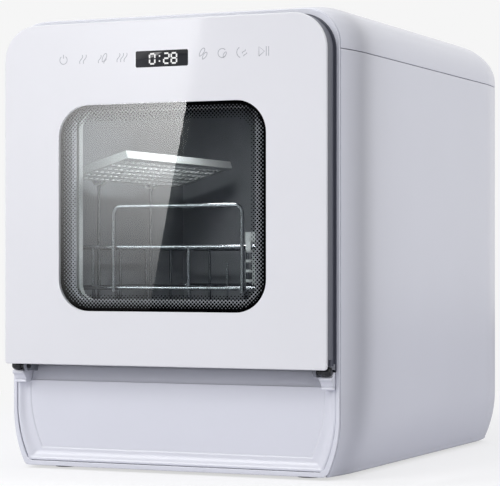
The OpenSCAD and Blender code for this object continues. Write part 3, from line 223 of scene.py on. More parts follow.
def draw_in(y):
    """How far the outline is drawn in at a depth: arcs of taper_r toward the front and the back, plus the
    round of the back edge. At u from an arc's start it lies r - sqrt(r * r - (length - u) ** 2) in."""
    sag = lambda u, length, r: np.where(u < length, r - np.sqrt(np.maximum(r ** 2 - (length - u) ** 2, 0)), 0)
    return sag(np.minimum(y, casing_d - y), taper_l, taper_r) + sag(casing_d - y, back_r, back_r)


def round_ends(start, end, r, count, between=()):
    """Places on a run whose two ends are rounded with quarter arcs, and how far in each place lies."""
    q = np.linspace(0, math.pi / 2, count)
    lead, tuck = r * (1 - np.cos(q)), r * (1 - np.sin(q))
    places = np.r_[start + lead, between, end - lead[::-1]]
    return places, np.r_[tuck, np.zeros(len(between)), tuck[::-1]]


def wall_ring(base, side):
    """Closed cross-section of a wall: out along the outline, back along its inner face, with rounded ends.
    Each point is a base point, its inward way and how deep in the wall it lies."""
    run = np.r_[0, np.cumsum(np.linalg.norm(np.diff(base, axis=0), axis=1))]
    keep = (run > past_edge) & (run < run[-1] - past_edge)
    s, w = round_ends(0, run[-1], edge_r, 5, run[keep])
    s, w = np.r_[s, s[::-1]], np.r_[w, wall - w[::-1]]
    at = lambda values: np.c_[np.interp(s, run, values[:, 0]), np.interp(s, run, values[:, 1])]
    return at(base), at(side), w


def grid_skin(rows, columns, ring=True, looped=False, filled=False):
    """Faces over a grid of points, row after row. ring joins each row's end to its start, looped joins the
    last row to the first, and filled closes the first and the last row with a face each."""
    i, j = np.meshgrid(np.arange(rows if looped else rows - 1), np.arange(columns if ring else columns - 1),
                       indexing="ij")
    k, up = (j + 1) % columns, (i + 1) % rows
    faces = np.stack([i * columns + j, i * columns + k, up * columns + k, up * columns + j], -1)
    caps = [list(range(columns))[::-1], list(range((rows - 1) * columns, rows * columns))]
    return faces.reshape(-1, 4).tolist() + (caps if filled else [])


def moulded_shell(name, base, side):
    """A wall ring carried from front to back and drawn in on the way, with rounded edges and closed ends."""
    p, d, w = wall_ring(base, side)
    near = taper_l * np.linspace(0, 1, 26) ** 1.3
    edge = casing_d - np.r_[6, 5, 4, 3, 2.2, 1.5, 0.9, 0.5, 0.2, 0]
    middle = np.linspace(taper_l, casing_d - taper_l, 24)
    y = np.unique(np.round(np.r_[near, middle, casing_d - near, edge], 4))
    y = y[(y > shell_front + past_edge) & (y < casing_d - past_edge)]
    y, tuck = round_ends(shell_front, casing_d, edge_r, 5, y)
    depth = np.minimum(np.maximum(w[None, :], tuck[:, None]), (wall - tuck)[:, None]) + draw_in(y)[:, None]
    xz = p[None] + d[None] * depth[..., None]
    rows = np.stack([xz[..., 0], np.broadcast_to(y[:, None], depth.shape), xz[..., 1]], -1)
    m, n = depth.shape
    a = np.arange(n // 2 - 1)
    cap = np.stack([a, n - 1 - a, n - 2 - a, a + 1], -1)
    faces = np.vstack([grid_skin(m, n), cap, (cap + (m - 1) * n)[:, ::-1]])
    return put(name, placed(rows.reshape(-1, 3)), faces)


def moulded_plastic(name, code, roughness, grain_mm=0.7, grain_depth=0.004, cloud=0.02):
    """Moulded thermoplastic: an even colour with a faint flow cloud 90 mm wide, and the fine grain of its
    mould, grain_mm wide, which softens the gloss."""
    made, tree, out, spot = blank(name)
    drift = add(tree, "ShaderNodeTexNoise", {"Vector": spot, "Scale": 11.0, "Detail": 2.0})
    low, high = (np.array(srgb(code)[:3]) * (1 + k) for k in (-cloud, cloud))
    tint = add(tree, "ShaderNodeMix", {0: drift.outputs[0], 6: (*low, 1), 7: (*np.minimum(high, 1), 1)},
               data_type="RGBA")
    grain = add(tree, "ShaderNodeTexNoise", {"Vector": spot, "Scale": 1000 / grain_mm,
                                             "Detail": 1.0})
    bump = add(tree, "ShaderNodeBump", {"Height": grain.outputs[0], "Strength": 0.4,
                                        "Distance": grain_depth / 1000})
    skin = add(tree, "ShaderNodeBsdfPrincipled", {"Base Color": tint.outputs[2], "Roughness": roughness,
                                                  "Normal": bump.outputs[0]})
    tree.links.new(skin.outputs[0], out)
    return made


def outward(piece):
    """Merges doubles and turns every face of a closed mesh outwards."""
    work = bmesh.new()
    work.from_mesh(piece.data)
    bmesh.ops.remove_doubles(work, verts=work.verts, dist=1e-7)
    bmesh.ops.recalc_face_normals(work, faces=work.faces)
    work.to_mesh(piece.data)
    work.free()
    return piece


def fit_out(piece, body, slot, *nodes, material):
    """Gives a finished piece its material and its body, and hides the solids it stands for. The slot is not
    used.
    """
    piece.data.materials.append(material)
    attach(piece, body)
    if nodes:
        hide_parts(*nodes)


# ABS from a polished mould: a cold white that mirrors the lamps as wide soft patches.
white_abs = moulded_plastic("white_satin_abs", "#DFE0E8", 0.24, cloud=0.012)
base, side = half_outline()
clear_of_seam = seam / 2 + 0.2
above = base[:, 1] > seam_z + clear_of_seam
half_top = np.vstack([[casing_w / 2, seam_z + seam / 2], base[above]])
half_way = np.vstack([[-1.0, 0.0], side[above]])
full = np.vstack([half_top, half_top[-2::-1] * (-1, 1)])
full_way = np.vstack([half_way, half_way[-2::-1] * (-1, 1)])
top_cover = outward(moulded_shell("top_cover_shell", full, full_way))


def lathe(name, profile, centre, axis="z", steps=48):
    """A profile of (radius, height) pairs turned about an axis through a centre, with both ends closed: a
    point is (r cos t, r sin t, h) in the axis's own order."""
    t = np.linspace(0, 2 * math.pi, steps, endpoint=False)
    r, h = np.asarray(profile, float).T
    a, b = r[:, None] * np.cos(t), r[:, None] * np.sin(t)
    up = np.broadcast_to(h[:, None], a.shape)
    order = {"z": (a, b, up), "x": (up, a, b), "y": (b, up, a)}[axis]
    points = np.stack(order, -1).reshape(-1, 3) + np.asarray(centre, float)
    return put(name, placed(points), grid_skin(len(r), steps, filled=True))


# The fill dish's seat is cut out of the cover for good.
dish_seat_r, fill_y = 34.3, 392.0
seat_cut = [(dish_seat_r, casing_h - 10), (dish_seat_r, casing_h + 5)]
cutter = outward(lathe("dish_seat", seat_cut, (0, fill_y, 0)))
seat = top_cover.modifiers.new("seat", "BOOLEAN")
seat.operation, seat.object, seat.solver = "DIFFERENCE", cutter, "EXACT"
whole = bpy.data.meshes.new_from_object(top_cover.evaluated_get(bpy.context.evaluated_depsgraph_get()))
top_cover.modifiers.clear()
top_cover.data = whole
bpy.data.objects.remove(cutter)
below = base[:, 1] < seam_z - clear_of_seam
half_side = np.vstack([base[below], [casing_w / 2, seam_z - seam / 2]])
side_way = np.vstack([side[below], [-1.0, 0.0]])
fit_out(top_cover, "machine", "white_panel", "top_cover", material=white_abs)
for hand, sign in (("right", 1), ("left", -1)):
    shell = moulded_shell(hand + "_side_shell", half_side * (sign, 1), side_way * (sign, 1))
    fit_out(outward(shell), "machine", "white_panel", hand + "_side_panel", material=white_abs)


# ---------- front frame and kick panel ----------
# The flat ABS frame closes the shells in front and shows as a bright rim; below the door the kick panel
# lies in it like a tray, with a rolled border, and its top runs back under the door as a cove.
def eased(node, name, width_mm, segments):
    """A merged copy of a solid's mesh with flat faces joined and every sharp edge rounded by a bevel."""
    sharp = math.radians(32)
    work = bmesh.new()
    work.from_mesh(frame["nodes"][node].data)
    bmesh.ops.remove_doubles(work, verts=work.verts, dist=2e-6)
    bmesh.ops.dissolve_limit(work, angle_limit=math.radians(1), verts=work.verts, edges=work.edges)
    mesh = bpy.data.meshes.new(name)
    work.to_mesh(mesh)
    work.free()
    mesh.polygons.foreach_set("use_smooth", np.ones(len(mesh.polygons), bool))
    mesh.set_sharp_from_angle(angle=sharp)
    made = bpy.data.objects.new(name, mesh)
    scene.collection.objects.link(made)
    round_off = made.modifiers.new("rounded_edges", "BEVEL")
    round_off.width, round_off.segments = width_mm / 1000, segments
    round_off.limit_method, round_off.angle_limit = "ANGLE", sharp
    round_off.use_clamp_overlap, round_off.harden_normals = True, True
    return made


def worn(node, name, width_mm, body, slot, finish, segments=2):
    """A solid of the record with its edges eased, in a finish."""
    fit_out(eased(node, name, width_mm, segments), body, slot, node, material=finish)


worn("front_frame", "front_rim", 0.7, "machine", "white_panel", white_abs, 3)
rim_w, crease_z, deepest, tray_step = 3.6, 83.0, 13.6, 1.0
face_y, tray_t = 4.9, 2.6


def kick_path(inset):
    """The tray's outline at a distance in from the rim, from the right end of the crease down round both
    lower corners to the left end; it rises by as much as it draws in."""
    lift = rim_w + tray_step
    low = base[base[:, 1] < crease_z - (lift + deepest)]
    z_up = np.linspace(low[-1, 1], crease_z - (lift + inset), 6)[1:]
    half = np.vstack([low, np.c_[np.interp(z_up, base[:, 1], base[:, 0]), z_up]])[::-1]
    half = half + (-(taper + rim_w + inset), lift + inset)
    return np.vstack([half, half[::-1] * (-1, 1)])


# The tray's border: its section, pairs of (inset, depth) from a rolled crest by the rim down a slope to a
# hollow fillet, carried along the outline; the hollow ends in one flat face, the panel itself.
section = [(0.3, 3.2), (0.3, 2.1), (0.5, 1.6), (0.9, 1.25), (1.5, 1.08), (2.2, 1.05), (3.0, 1.3), (4.0, 2.0),
           (5.2, 3.0), (6.4, 3.85), (7.6, 4.4), (8.8, 4.7), (10.0, 4.85), (11.8, face_y), (deepest, face_y)]
rows = np.array([np.insert(kick_path(inset), 1, depth, axis=1) for inset, depth in section])
rows = np.concatenate([rows, rows[::-1] + (0, tray_t, 0)])
m, n = rows.shape[:2]
ends = [[k * n for k in range(m)][::-1], [k * n + n - 1 for k in range(m)]]
tray_skin = grid_skin(m, n, ring=False, looped=True) + ends
border = outward(put("kick_border", placed(rows.reshape(-1, 3)), tray_skin))


def stacked(name, rings, looped=False):
    """Skin over a stack of (outline, depth) rings with equal counts; looped joins the last ring to the first,
    otherwise the first and last are filled."""
    points = np.vstack([np.insert(line, 1, y, axis=1) for line, y in rings])
    skin = grid_skin(len(rings), len(rings[0][0]), looped=looped, filled=not looped)
    return outward(put(name, placed(points), skin))


edge = kick_path(deepest)
panel = stacked("kick_face", [(edge, face_y), (edge, face_y + tray_t)])
panel.data.polygons.foreach_set("use_smooth", np.zeros(len(panel.data.polygons), bool))


def carried_x(name, profile, x0, x1, round_r=0.5):
    """A closed side-view profile (y, z) carried across the width from x0 to x1, its two ends rounded in."""
    p = np.asarray(profile, float)
    tangent = np.roll(p, -1, 0) - np.roll(p, 1, 0)
    length = np.maximum(np.linalg.norm(tangent, axis=1), 1e-9)
    normal = np.c_[tangent[:, 1], -tangent[:, 0]] / length[:, None]
    area = 0.5 * np.sum(p[:, 0] * np.roll(p[:, 1], -1) - np.roll(p[:, 0], -1) * p[:, 1])
    inward = -normal * np.sign(area)
    x, tuck = round_ends(x0, x1, round_r, 4)
    ring = p[None] + inward[None] * tuck[:, None, None]
    rows = np.concatenate([np.broadcast_to(x[:, None, None], (*ring.shape[:2], 1)), ring], -1)
    return outward(put(name, placed(rows.reshape(-1, 3)), grid_skin(*ring.shape[:2], filled=True)))


def arc(cx, cy, r, a0, a1, count):
    """Points on an arc, angles in degrees."""
    t = np.radians(np.linspace(a0, a1, count))
    return np.c_[cx + r * np.cos(t), cy + r * np.sin(t)]


cove_face = np.array([(5.2, 82.8), (6.4, 83.3), (7.1, 84.4), (7.8, 86.6), (8.7, 89.6), (9.8, 92.8),
                      (11.2, 96.0), (13.0, 99.3)])
cove_out = np.vstack([[(5.2, 80.0)], cove_face, [(15.4, 99.3)], cove_face[::-1] + (2.3, -1.0), [(7.5, 80.0)]])
cove_half = 155.7
cove = carried_x("kick_cove", cove_out, -cove_half, cove_half, 0.3)
for piece in (border, panel, cove):
    fit_out(piece, "machine", "white_panel", "kick_panel", material=white_abs)


# ---------- hinges ----------
# Under each lower corner of the door a steel pin carries a black acetal barrel; a small white cover with a
# hollow front and a lip at its foot stands below it.
hinge_y, hinge_z = -8.0, 98.0
cover_front, cover_foot = -9.8, -2.6
cover_out = np.vstack([[(11, 97.4)], arc(hinge_y, hinge_z, 5.2, -7, -108, 12),
                       arc(cover_front + 0.5, 91.0, 0.5, 180, 250, 4), arc(-11.5, 83, 7.2, 76, 14, 9),
                       arc(cover_foot - 0.9, 83.2, 0.9, 60, 180, 4) + (0.4, 0),
                       arc(cover_foot - 0.8, 82.0, 0.8, 180, 270, 5), [(11, 81.2)]])
# Acetal from a polished mould: an even black with a small sharp highlight along the barrel.
black_acetal = moulded_plastic("black_acetal", "#141519", 0.22, cloud=0.0)
hinge_x, cover_in, cover_end = 163.0, 156.0, 168.4
pin_r, barrel_r, bulge, barrel_half = 3.05, 4.7, 1.1, 4.5
t = np.linspace(-1, 1, 13)
barrel = np.c_[barrel_r - bulge * t ** 2, barrel_half * t]
barrel = np.vstack([[(pin_r, -barrel_half)], barrel, [(pin_r, barrel_half)]])
hands = (("left", -1), ("right", 1))
for hand, sign in hands:
    cover = carried_x(hand + "_hinge_foot", cover_out, *sorted((sign * cover_in, sign * cover_end)), 0.7)
    fit_out(cover, "machine", "white_panel", hand + "_hinge_cover", material=white_abs)
for hand, sign in hands:
    knuckle = outward(lathe(hand + "_barrel", barrel, (sign * hinge_x, hinge_y, hinge_z), "x", 40))
    fit_out(knuckle, "door", "black_plastic", "door_knuckles", material=black_acetal)


# ---------- door glass ----------
# The outer pane is 3.5 mm float glass, printed white on its back round a clear window and ground round at its
# edges. It is as smooth as a mirror, so it shows the studio's card as a slanting sheen.
door_half, door_z0, door_z1 = 169.0, 100.2, 428.3
door_r, door_foot_r = 34.0, 3.0
view_half, view_z0, view_z1, view_r = 97.0, 163.0, 344.0, 15.0
print_half, print_z0, print_z1, print_r = 109.0, 152.0, 349.5, 31.0
glass_front, glass_back, ground_r = -22.93, -19.54, 1.2


def rounded(half, z0, z1, low_r, high_r, per=12):
    """Outline (x, z) of an upright rectangle about x = 0 with an arc at each corner, from the lower right
    round to the lower left."""
    corners = ((half - low_r, z0 + low_r, low_r, -90), (half - high_r, z1 - high_r, high_r, 0),
               (high_r - half, z1 - high_r, high_r, 90), (low_r - half, z0 + low_r, low_r, 180))
    return np.vstack([arc(cx, cz, r, a, a + 90, per + 1) for cx, cz, r, a in corners])


def door_line(inset):
    """The door's outline drawn in by an inset."""
    foot_r = max(door_foot_r - inset, 0.4)
    return rounded(door_half - inset, door_z0 + inset, door_z1 - inset, foot_r, door_r - inset)


def print_line(inset):
    """The edge of the white print round the window, drawn in by an inset."""
    return rounded(print_half - inset, print_z0 + inset, print_z1 - inset, print_r - inset, print_r - inset)


def view_line(out):
    """The outline of the frame's opening behind the glass, grown by a distance."""
    return rounded(view_half + out, view_z0 - out, view_z1 + out, view_r + out, view_r + out)


t = np.radians(np.linspace(0, 90, 6))
ground = [(door_line(float(d)), float(y))
          for d, y in zip(ground_r * (1 - np.sin(t)), glass_front + ground_r * (1 - np.cos(t)))]
front = [(print_line(0), glass_front), (door_line(1.8), glass_front), (door_line(1.4), glass_front)]
back = [(door_line(0), glass_back - 0.5), (door_line(0.4), glass_back), (door_line(1.2), glass_back),
        (print_line(0), glass_back)]
pane = stacked("door_glass_pane", front + ground + back)

# White enamel fired on the back of clear glass: a bright even white under a thin sharp mirror.
white_print, tree, out, spot = blank("white_print_under_glass")
drift = add(tree, "ShaderNodeTexNoise", {"Vector": spot, "Scale": 8.0, "Detail": 1.0})
print_tint = add(tree, "ShaderNodeMix", {0: drift.outputs[0], 6: srgb("#E2E2E5"), 7: srgb("#E6E6E9")},
                 data_type="RGBA")
print_skin = add(tree, "ShaderNodeBsdfPrincipled", {"Base Color": print_tint.outputs[2], "Roughness": 0.05,
                                                    "Specular IOR Level": 0.09})
tree.links.new(print_skin.outputs[0], out)


def clear_pane(name, code, ior=1.5):
    """Float glass seen through: rays pass straight on, faintly tinted, and only its outer face mirrors, by
    Fresnel's law."""
    made, tree, out, spot = blank(name)
    face = add(tree, "ShaderNodeNewGeometry")
    outer = add(tree, "ShaderNodeMath", {0: 1.0, 1: face.outputs["Backfacing"]}, operation="SUBTRACT")
    bend = add(tree, "ShaderNodeFresnel", {"IOR": ior})
    share = add(tree, "ShaderNodeMath", {0: bend.outputs[0], 1: outer.outputs[0]}, operation="MULTIPLY")
    ripple = add(tree, "ShaderNodeTexNoise", {"Vector": spot, "Scale": 30.0})
    tint = add(tree, "ShaderNodeMix", {0: ripple.outputs[0], 6: srgb(code), 7: srgb("#FFFFFF")},
               data_type="RGBA")
    through = add(tree, "ShaderNodeBsdfTransparent", {"Color": tint.outputs[2]})
    mirror = add(tree, "ShaderNodeBsdfGlossy", {"Color": (1, 1, 1, 1), "Roughness": 0.0})
    both = add(tree, "ShaderNodeMixShader", {0: share.outputs[0], 1: through.outputs[0],
                                             2: mirror.outputs[0]})
    tree.links.new(both.outputs[0], out)
    return made


clear_float = clear_pane("clear_float_glass", "#F4F7F6")
fit_out(pane, "door", "white_glass", "door_glass", material=white_print)
pane.data.materials.append(clear_float)
for face in pane.data.polygons:
    if len(face.vertices) > 4:
        face.material_index = 1
        face.use_smooth = False

# The card that the door mirrors stands in the plane of the lens, so the door shows each of its points halfway
# between the point and the lens. Its pattern is written in those places on the door.
card_y = -2.0068
lens_x, lens_z = 0.873372, 0.200671
half_x, low_z, high_z = 0.19, 0.09, 0.45
corners = [(2 * x - lens_x, card_y, 2 * z - lens_z)
           for x, z in ((-half_x, low_z), (half_x, low_z), (half_x, high_z), (-half_x, high_z))]
card = put("mirror_card", corners, [(0, 1, 2, 3)], smooth=False)
card_paint, tree, out, spot = blank("card_glow")
place = add(tree, "ShaderNodeSeparateXYZ", {0: spot})
door_x, door_z = (add(tree, "ShaderNodeMath", {0: place.outputs[way], 1: 0.5, 2: at / 2},
                      operation="MULTIPLY_ADD") for way, at in (("X", lens_x), ("Z", lens_z)))
sheen_top_x, sheen_top_z, sheen_lean = 0.04375, 0.43005, 0.2016
drop = add(tree, "ShaderNodeMath", {0: sheen_top_z, 1: door_z.outputs[0]}, operation="SUBTRACT")
lean = add(tree, "ShaderNodeMath", {0: drop.outputs[0], 1: -sheen_lean, 2: sheen_top_x},
           operation="MULTIPLY_ADD")
inside = add(tree, "ShaderNodeMath", {0: door_x.outputs[0], 1: lean.outputs[0]}, operation="LESS_THAN")
across = add(tree, "ShaderNodeMapRange", {"Value": door_x.outputs[0], "From Min": -0.105, "From Max": 0.035,
                                          "To Min": 5.8, "To Max": 12.3}, clamp=False)
upward = add(tree, "ShaderNodeMapRange", {"Value": door_z.outputs[0], "From Min": 0.155, "From Max": 0.354},
             clamp=False)
fade = add(tree, "ShaderNodeMath", {0: upward.outputs["Result"], 1: 0.0}, operation="MAXIMUM")
sheen = add(tree, "ShaderNodeMath", {0: across.outputs["Result"], 1: fade.outputs[0]}, operation="MULTIPLY")
shown = add(tree, "ShaderNodeMath", {0: sheen.outputs[0], 1: inside.outputs[0]}, operation="MULTIPLY")
glowing = add(tree, "ShaderNodeEmission", {"Color": srgb("#FFFFFF"), "Strength": shown.outputs[0]})
tree.links.new(glowing.outputs[0], out)
card.data.materials.append(card_paint)
card.visible_camera = card.visible_diffuse = card.visible_shadow = card.visible_transmission = False
card.visible_volume_scatter = False


# ---------- dotted border ----------
# Black ceramic ink fired on the back of the pane round the window: a solid band that breaks up into a
# staggered grid of dots, ever smaller toward the clear middle. The real grid is a little finer; this one is
# as coarse as a 500 pixel picture needs to show it.
band_w, dots_end, dot_step, widest_r, least_r = 3.5, 17.0, 3.8, 1.62, 0.55
ink_y0, ink_y1 = glass_back - 0.10, glass_back - 0.04


def inside_depth(x, z):
    """Distance in from the window's outline by the rounded rectangle's own distance formula."""
    px = np.abs(x) - (print_half - print_r)
    pz = np.abs(z - (print_z0 + print_z1) / 2) - ((print_z1 - print_z0) / 2 - print_r)
    outside = np.hypot(np.maximum(px, 0), np.maximum(pz, 0))
    return print_r - (outside + np.minimum(np.maximum(px, pz), 0))


def prisms(name, x, z, r, y0, y1, sides=6):
    """Many thin prisms in one mesh: prism k has its axis along y at (x, z)[k] and radius r[k]."""
    a = np.linspace(0, 2 * math.pi, sides, endpoint=False)
    px, pz = x[:, None] + r[:, None] * np.cos(a), z[:, None] + r[:, None] * np.sin(a)
    rows = [np.stack([px, np.full_like(px, y), pz], -1) for y in (y0, y1)]
    points = np.concatenate(rows, 1).reshape(-1, 3)
    k = np.arange(sides)
    wall = np.stack([k, (k + 1) % sides, (k + 1) % sides + sides, k + sides], -1)
    lift = (np.arange(len(x)) * 2 * sides)[:, None]
    faces = (wall[None] + lift[..., None]).reshape(-1, 4).tolist()
    faces += (k[::-1][None] + lift).tolist() + ((k + sides)[None] + lift).tolist()
    return put(name, placed(points), faces, smooth=False)


column, row = np.meshgrid(np.arange(-40, 41), np.arange(-70, 71), indexing="xy")
dot_x = (column + 0.5 * (row % 2)) * dot_step
dot_z = row * dot_step / 2 + (print_z0 + print_z1) / 2
depth = inside_depth(dot_x, dot_z)
kept = (depth > band_w - 1.5) & (depth < dots_end)
dot_r = np.interp(depth[kept], [band_w, dots_end], [widest_r, least_r])
dots = prisms("dotted_border", dot_x[kept], dot_z[kept], dot_r, ink_y0, ink_y1)


def flat_ring(name, outer, inner, y0, y1):
    """A flat ring between two outlines with equal counts, from depth y0 to y1."""
    return stacked(name, [(outer, y0), (inner, y0), (inner, y1), (outer, y1)], looped=True)


band = flat_ring("black_band", print_line(0.06), print_line(band_w), ink_y0 - 0.01, ink_y1 + 0.01)


def covered_black(name, code):
    """Ink or tape that lies against glass: no air gap, so no gloss of its own, and a fine mottle."""
    made, tree, out, spot = blank(name)
    mottle = add(tree, "ShaderNodeTexNoise", {"Vector": spot, "Scale": 700.0})
    dark = tuple(0.8 * c for c in srgb(code)[:3])
    tint = add(tree, "ShaderNodeMix", {0: mottle.outputs[0], 6: (*dark, 1), 7: srgb(code)}, data_type="RGBA")
    skin = add(tree, "ShaderNodeBsdfPrincipled", {"Base Color": tint.outputs[2], "Roughness": 0.9,
                                                  "Specular IOR Level": 0.0})
    tree.links.new(skin.outputs[0], out)
    return made


black_ink = covered_black("black_ceramic_ink", "#060607")
fit_out(dots, "door", "white_glass", material=black_ink)
fit_out(band, "door", "white_glass", material=black_ink)
# Polyethylene foam tape holds the pane to its tray: a pale grey ring that the dots show up against.
foam_tape = covered_black("pale_foam_tape", "#96979C")
tape = flat_ring("mounting_tape", view_line(-0.3), print_line(-4), glass_back + 0.01, glass_back + 0.03)
fit_out(tape, "door", "rubber", material=foam_tape)


# ---------- touch marks and display ----------
# Grey marks printed for the touch keys, and the display's dark window with lit seven-segment digits.
mark_y, mark_z, mark_w = glass_front - 0.02, 393.5, 0.75


def ribbon(line, width, proud):
    """Points and faces of a flat closed ribbon along a line in the front view: the line moved half a width
    to either side, at two depths."""
    p = np.asarray(line, float)
    way = np.gradient(p, axis=0)
    way /= np.maximum(np.linalg.norm(way, axis=1), 1e-9)[:, None]
    off = np.c_[-way[:, 1], way[:, 0]] * width / 2
    n = len(p)
    rows = [(row, y) for y in (mark_y - proud, mark_y + 0.02) for row in (p + off, p - off)]
    points = np.vstack([np.insert(row, 1, y, axis=1) for row, y in rows])
    i = np.arange(n - 1)
    a, b, c, d = (np.arange(4) * n)[:, None] + i
    corners = ((a, a + 1, b + 1, b), (c, d, d + 1, c + 1), (a, c, c + 1, a + 1), (b, b + 1, d + 1, d))
    ends = [[0, n, 3 * n, 2 * n], [n - 1, 3 * n - 1, 4 * n - 1, 2 * n - 1]]
    return points, np.vstack([np.stack(q, -1) for q in corners]).tolist() + ends


def joined(parts):
    """The points and faces of many small meshes as one of each: every face's numbers move on by the points
    before it."""
    points, faces, start = [], [], 0
    for p, f in parts:
        points.append(p)
        faces += [[v + start for v in face] for face in f]
        start += len(p)
    return placed(np.vstack(points)), faces


def marks(name, lines, width, proud=0.0):
    """One mesh of many ribbons."""
    return outward(put(name, *joined(ribbon(line, width, proud) for line in lines), smooth=False))


def wave(x, z, height, swing):
    """A rising wisp: x swings once as a sine over the height."""
    t = np.linspace(-0.5, 0.5, 13)
    return np.c_[x + t * 2.6 + swing * np.sin(2 * math.pi * t), z + height * t]


def leaf(x, z, size, lean):
    """A leaf or drop: two arcs that meet in points, turned by a lean in degrees."""
    t = np.linspace(0, 2 * math.pi, 25)
    u, v = size * np.cos(t), 0.46 * size * np.sin(t) * np.abs(np.sin(t / 2 + math.pi / 2)) ** 0.4
    a = math.radians(lean)
    return np.c_[x + u * math.cos(a) - v * math.sin(a), z + u * math.sin(a) + v * math.cos(a)]


z = mark_z
icons = [arc(-103.8, z, 4.0, 125, 415, 21), [(-103.8, z + 1.5), (-103.8, z + 5.2)]]
icons += [wave(-82.5 + k, z, 8.5, 0.9) for k in (-2, 2)]
icons += [wave(-64.3, z - 0.5, 7.5, 0.8), leaf(-59.4, z + 0.6, 4.4, 62), wave(-58.6, z - 2.4, 5.0, 0.5)]
icons += [wave(-40.4 + k, z, 8.5, 0.9) for k in (-3.8, 0, 3.8)]
icons += [leaf(43.6, z + 1.6, 4.4, 55), leaf(46.4, z - 1.8, 3.8, 55)]
icons += [arc(64.4, z, 4.2, 40, 330, 21), leaf(67.0, z - 1.6, 2.8, 60)]
icons += [arc(84.6, z, 5.2, 120, 250, 13), wave(86.6, z + 0.6, 3.6, 0.8), wave(88.0, z - 2.2, 3.4, 0.8)]
icons += [[(101.8, z - 4.4), (101.8, z + 4.4), (107.4, z), (101.8, z - 4.4)]]
icons += [[(x, z - 4.4), (x, z + 4.4)] for x in (109.2, 111.6)]
touch_marks = marks("touch_marks", icons, mark_w)
# Screen-printed ink: a thin even grey.
grey_print = moulded_plastic("grey_screen_print", "#A7A8AE", 0.3, cloud=0.0)
fit_out(touch_marks, "door", "white_glass", material=grey_print)

display_x, display_z, half_w, half_h, screen_r = 1.7, 391.0, 27.5, 7.75, 1.4
screen_line = rounded(half_w, display_z - half_h, display_z + half_h, screen_r, screen_r, 5) + (display_x, 0)
screen = stacked("display_window", [(screen_line, mark_y), (screen_line, mark_y + 0.1)])
# Black acrylic: near black and as glossy as glass, so that only the lit digits show.
screen_black = moulded_plastic("black_display_acrylic", "#15171C", 0.06, cloud=0.0)
fit_out(screen, "door", "black_plastic", "display_module", material=screen_black)

digit_w, digit_h, bar_w = 7.0, 10.9, 1.5
segments = {"a": ((0, 1), (1, 1)), "b": ((1, 1), (1, 0.5)), "c": ((1, 0.5), (1, 0)), "d": ((0, 0), (1, 0)),
            "e": ((0, 0), (0, 0.5)), "f": ((0, 0.5), (0, 1)), "g": ((0, 0.5), (1, 0.5))}
lit = []
for middle, on in ((-10.0, "abcdef"), (4.9, "abged"), (12.8, "abcdefg")):
    for key in on:
        ends = (np.array(segments[key], float) - 0.5) * (digit_w - bar_w, digit_h - bar_w)
        ends = ends + (display_x + middle, display_z)
        trim = (ends[1] - ends[0]) / np.linalg.norm(ends[1] - ends[0]) * bar_w * 0.42
        lit.append(ends + np.array([trim, -trim]))
colon_x = display_x - 2.3
lit += [[(colon_x, display_z + up - bar_w / 2), (colon_x, display_z + up + bar_w / 2)] for up in (-2.4, 2.4)]
digits = marks("display_digits", lit, bar_w, 0.04)
# Light-emitting segments behind a fine diffuser: white at the level of the page, a little uneven.
digit_glow, tree, out, spot = blank("white_light_emitting_segments")
grain = add(tree, "ShaderNodeTexNoise", {"Vector": spot, "Scale": 900.0})
level = add(tree, "ShaderNodeMapRange", {"Value": grain.outputs[0], "To Min": 0.9, "To Max": 1.0})
shine = add(tree, "ShaderNodeEmission", {"Color": srgb("#FFFFFF"), "Strength": level.outputs["Result"]})
tree.links.new(shine.outputs[0], out)
fit_out(digits, "door", "white_glass", material=digit_glow)


# ---------- door frame, seal and liner ----------
# Behind the glass a dark ABS tray carries it; a pale sleeve lines the round opening, a rubber cord seals the
# thin inner pane, and a pale liner closes the door and plugs the tub's mouth. Two dark strips are painted
# shade in the gap where the closed door rests on the machine's rim.

# ABS from an etched mould: a cold dark grey with a broad soft sheen.
dark_abs = moulded_plastic("dark_grey_satin_abs", "#585A65", 0.36)
worn("door_frame", "door_tray", 0.5, "door", "door_grey", dark_abs)
reveal = flat_ring("window_sleeve", view_line(-0.02), view_line(-0.35), -19.38, -9.52)
# The sleeve is the same ABS in pale grey.
pale_sleeve = moulded_plastic("pale_grey_sleeve", "#B9BAC1", 0.42)
fit_out(reveal, "door", "door_grey", material=pale_sleeve)

# EPDM rubber, extruded: a dull charcoal with hardly any sheen.
black_rubber = moulded_plastic("black_epdm_rubber", "#25262A", 0.6, 1.2, 0.01)
worn("window_seal", "inner_pane_seal", 0.3, "door", "rubber", black_rubber)
# The inner pane wears an anti-reflex coat, so it adds next to no second reflection.
coated_float = clear_pane("coated_inner_glass", "#F4F7F6", 1.12)
worn("inner_glass", "inner_pane", 0.3, "door", "clear_glass", coated_float)


def horseshoe(name, outer, inner, y0, y1):
    """A flat strip round the door's sides and top, between an outer and an inner line that both run from the
    right foot over the top to the left foot, from depth y0 to y1."""
    strip = stacked(name, [(np.vstack([outer, inner[::-1]]), y) for y in (y0, y1)])
    strip.data.set_sharp_from_angle(angle=math.radians(40))
    return strip


def over_top(inset, feet):
    """The door's line at an inset, its two upper corners only, with points (x, z) added at its right foot and
    mirrored at its left. An x of 0 stands for the line's own."""
    line = door_line(inset)[13:39]
    feet = np.array([(x or line[0, 0], z) for x, z in feet])
    return np.vstack([feet, line, feet[::-1] * (-1, 1)])
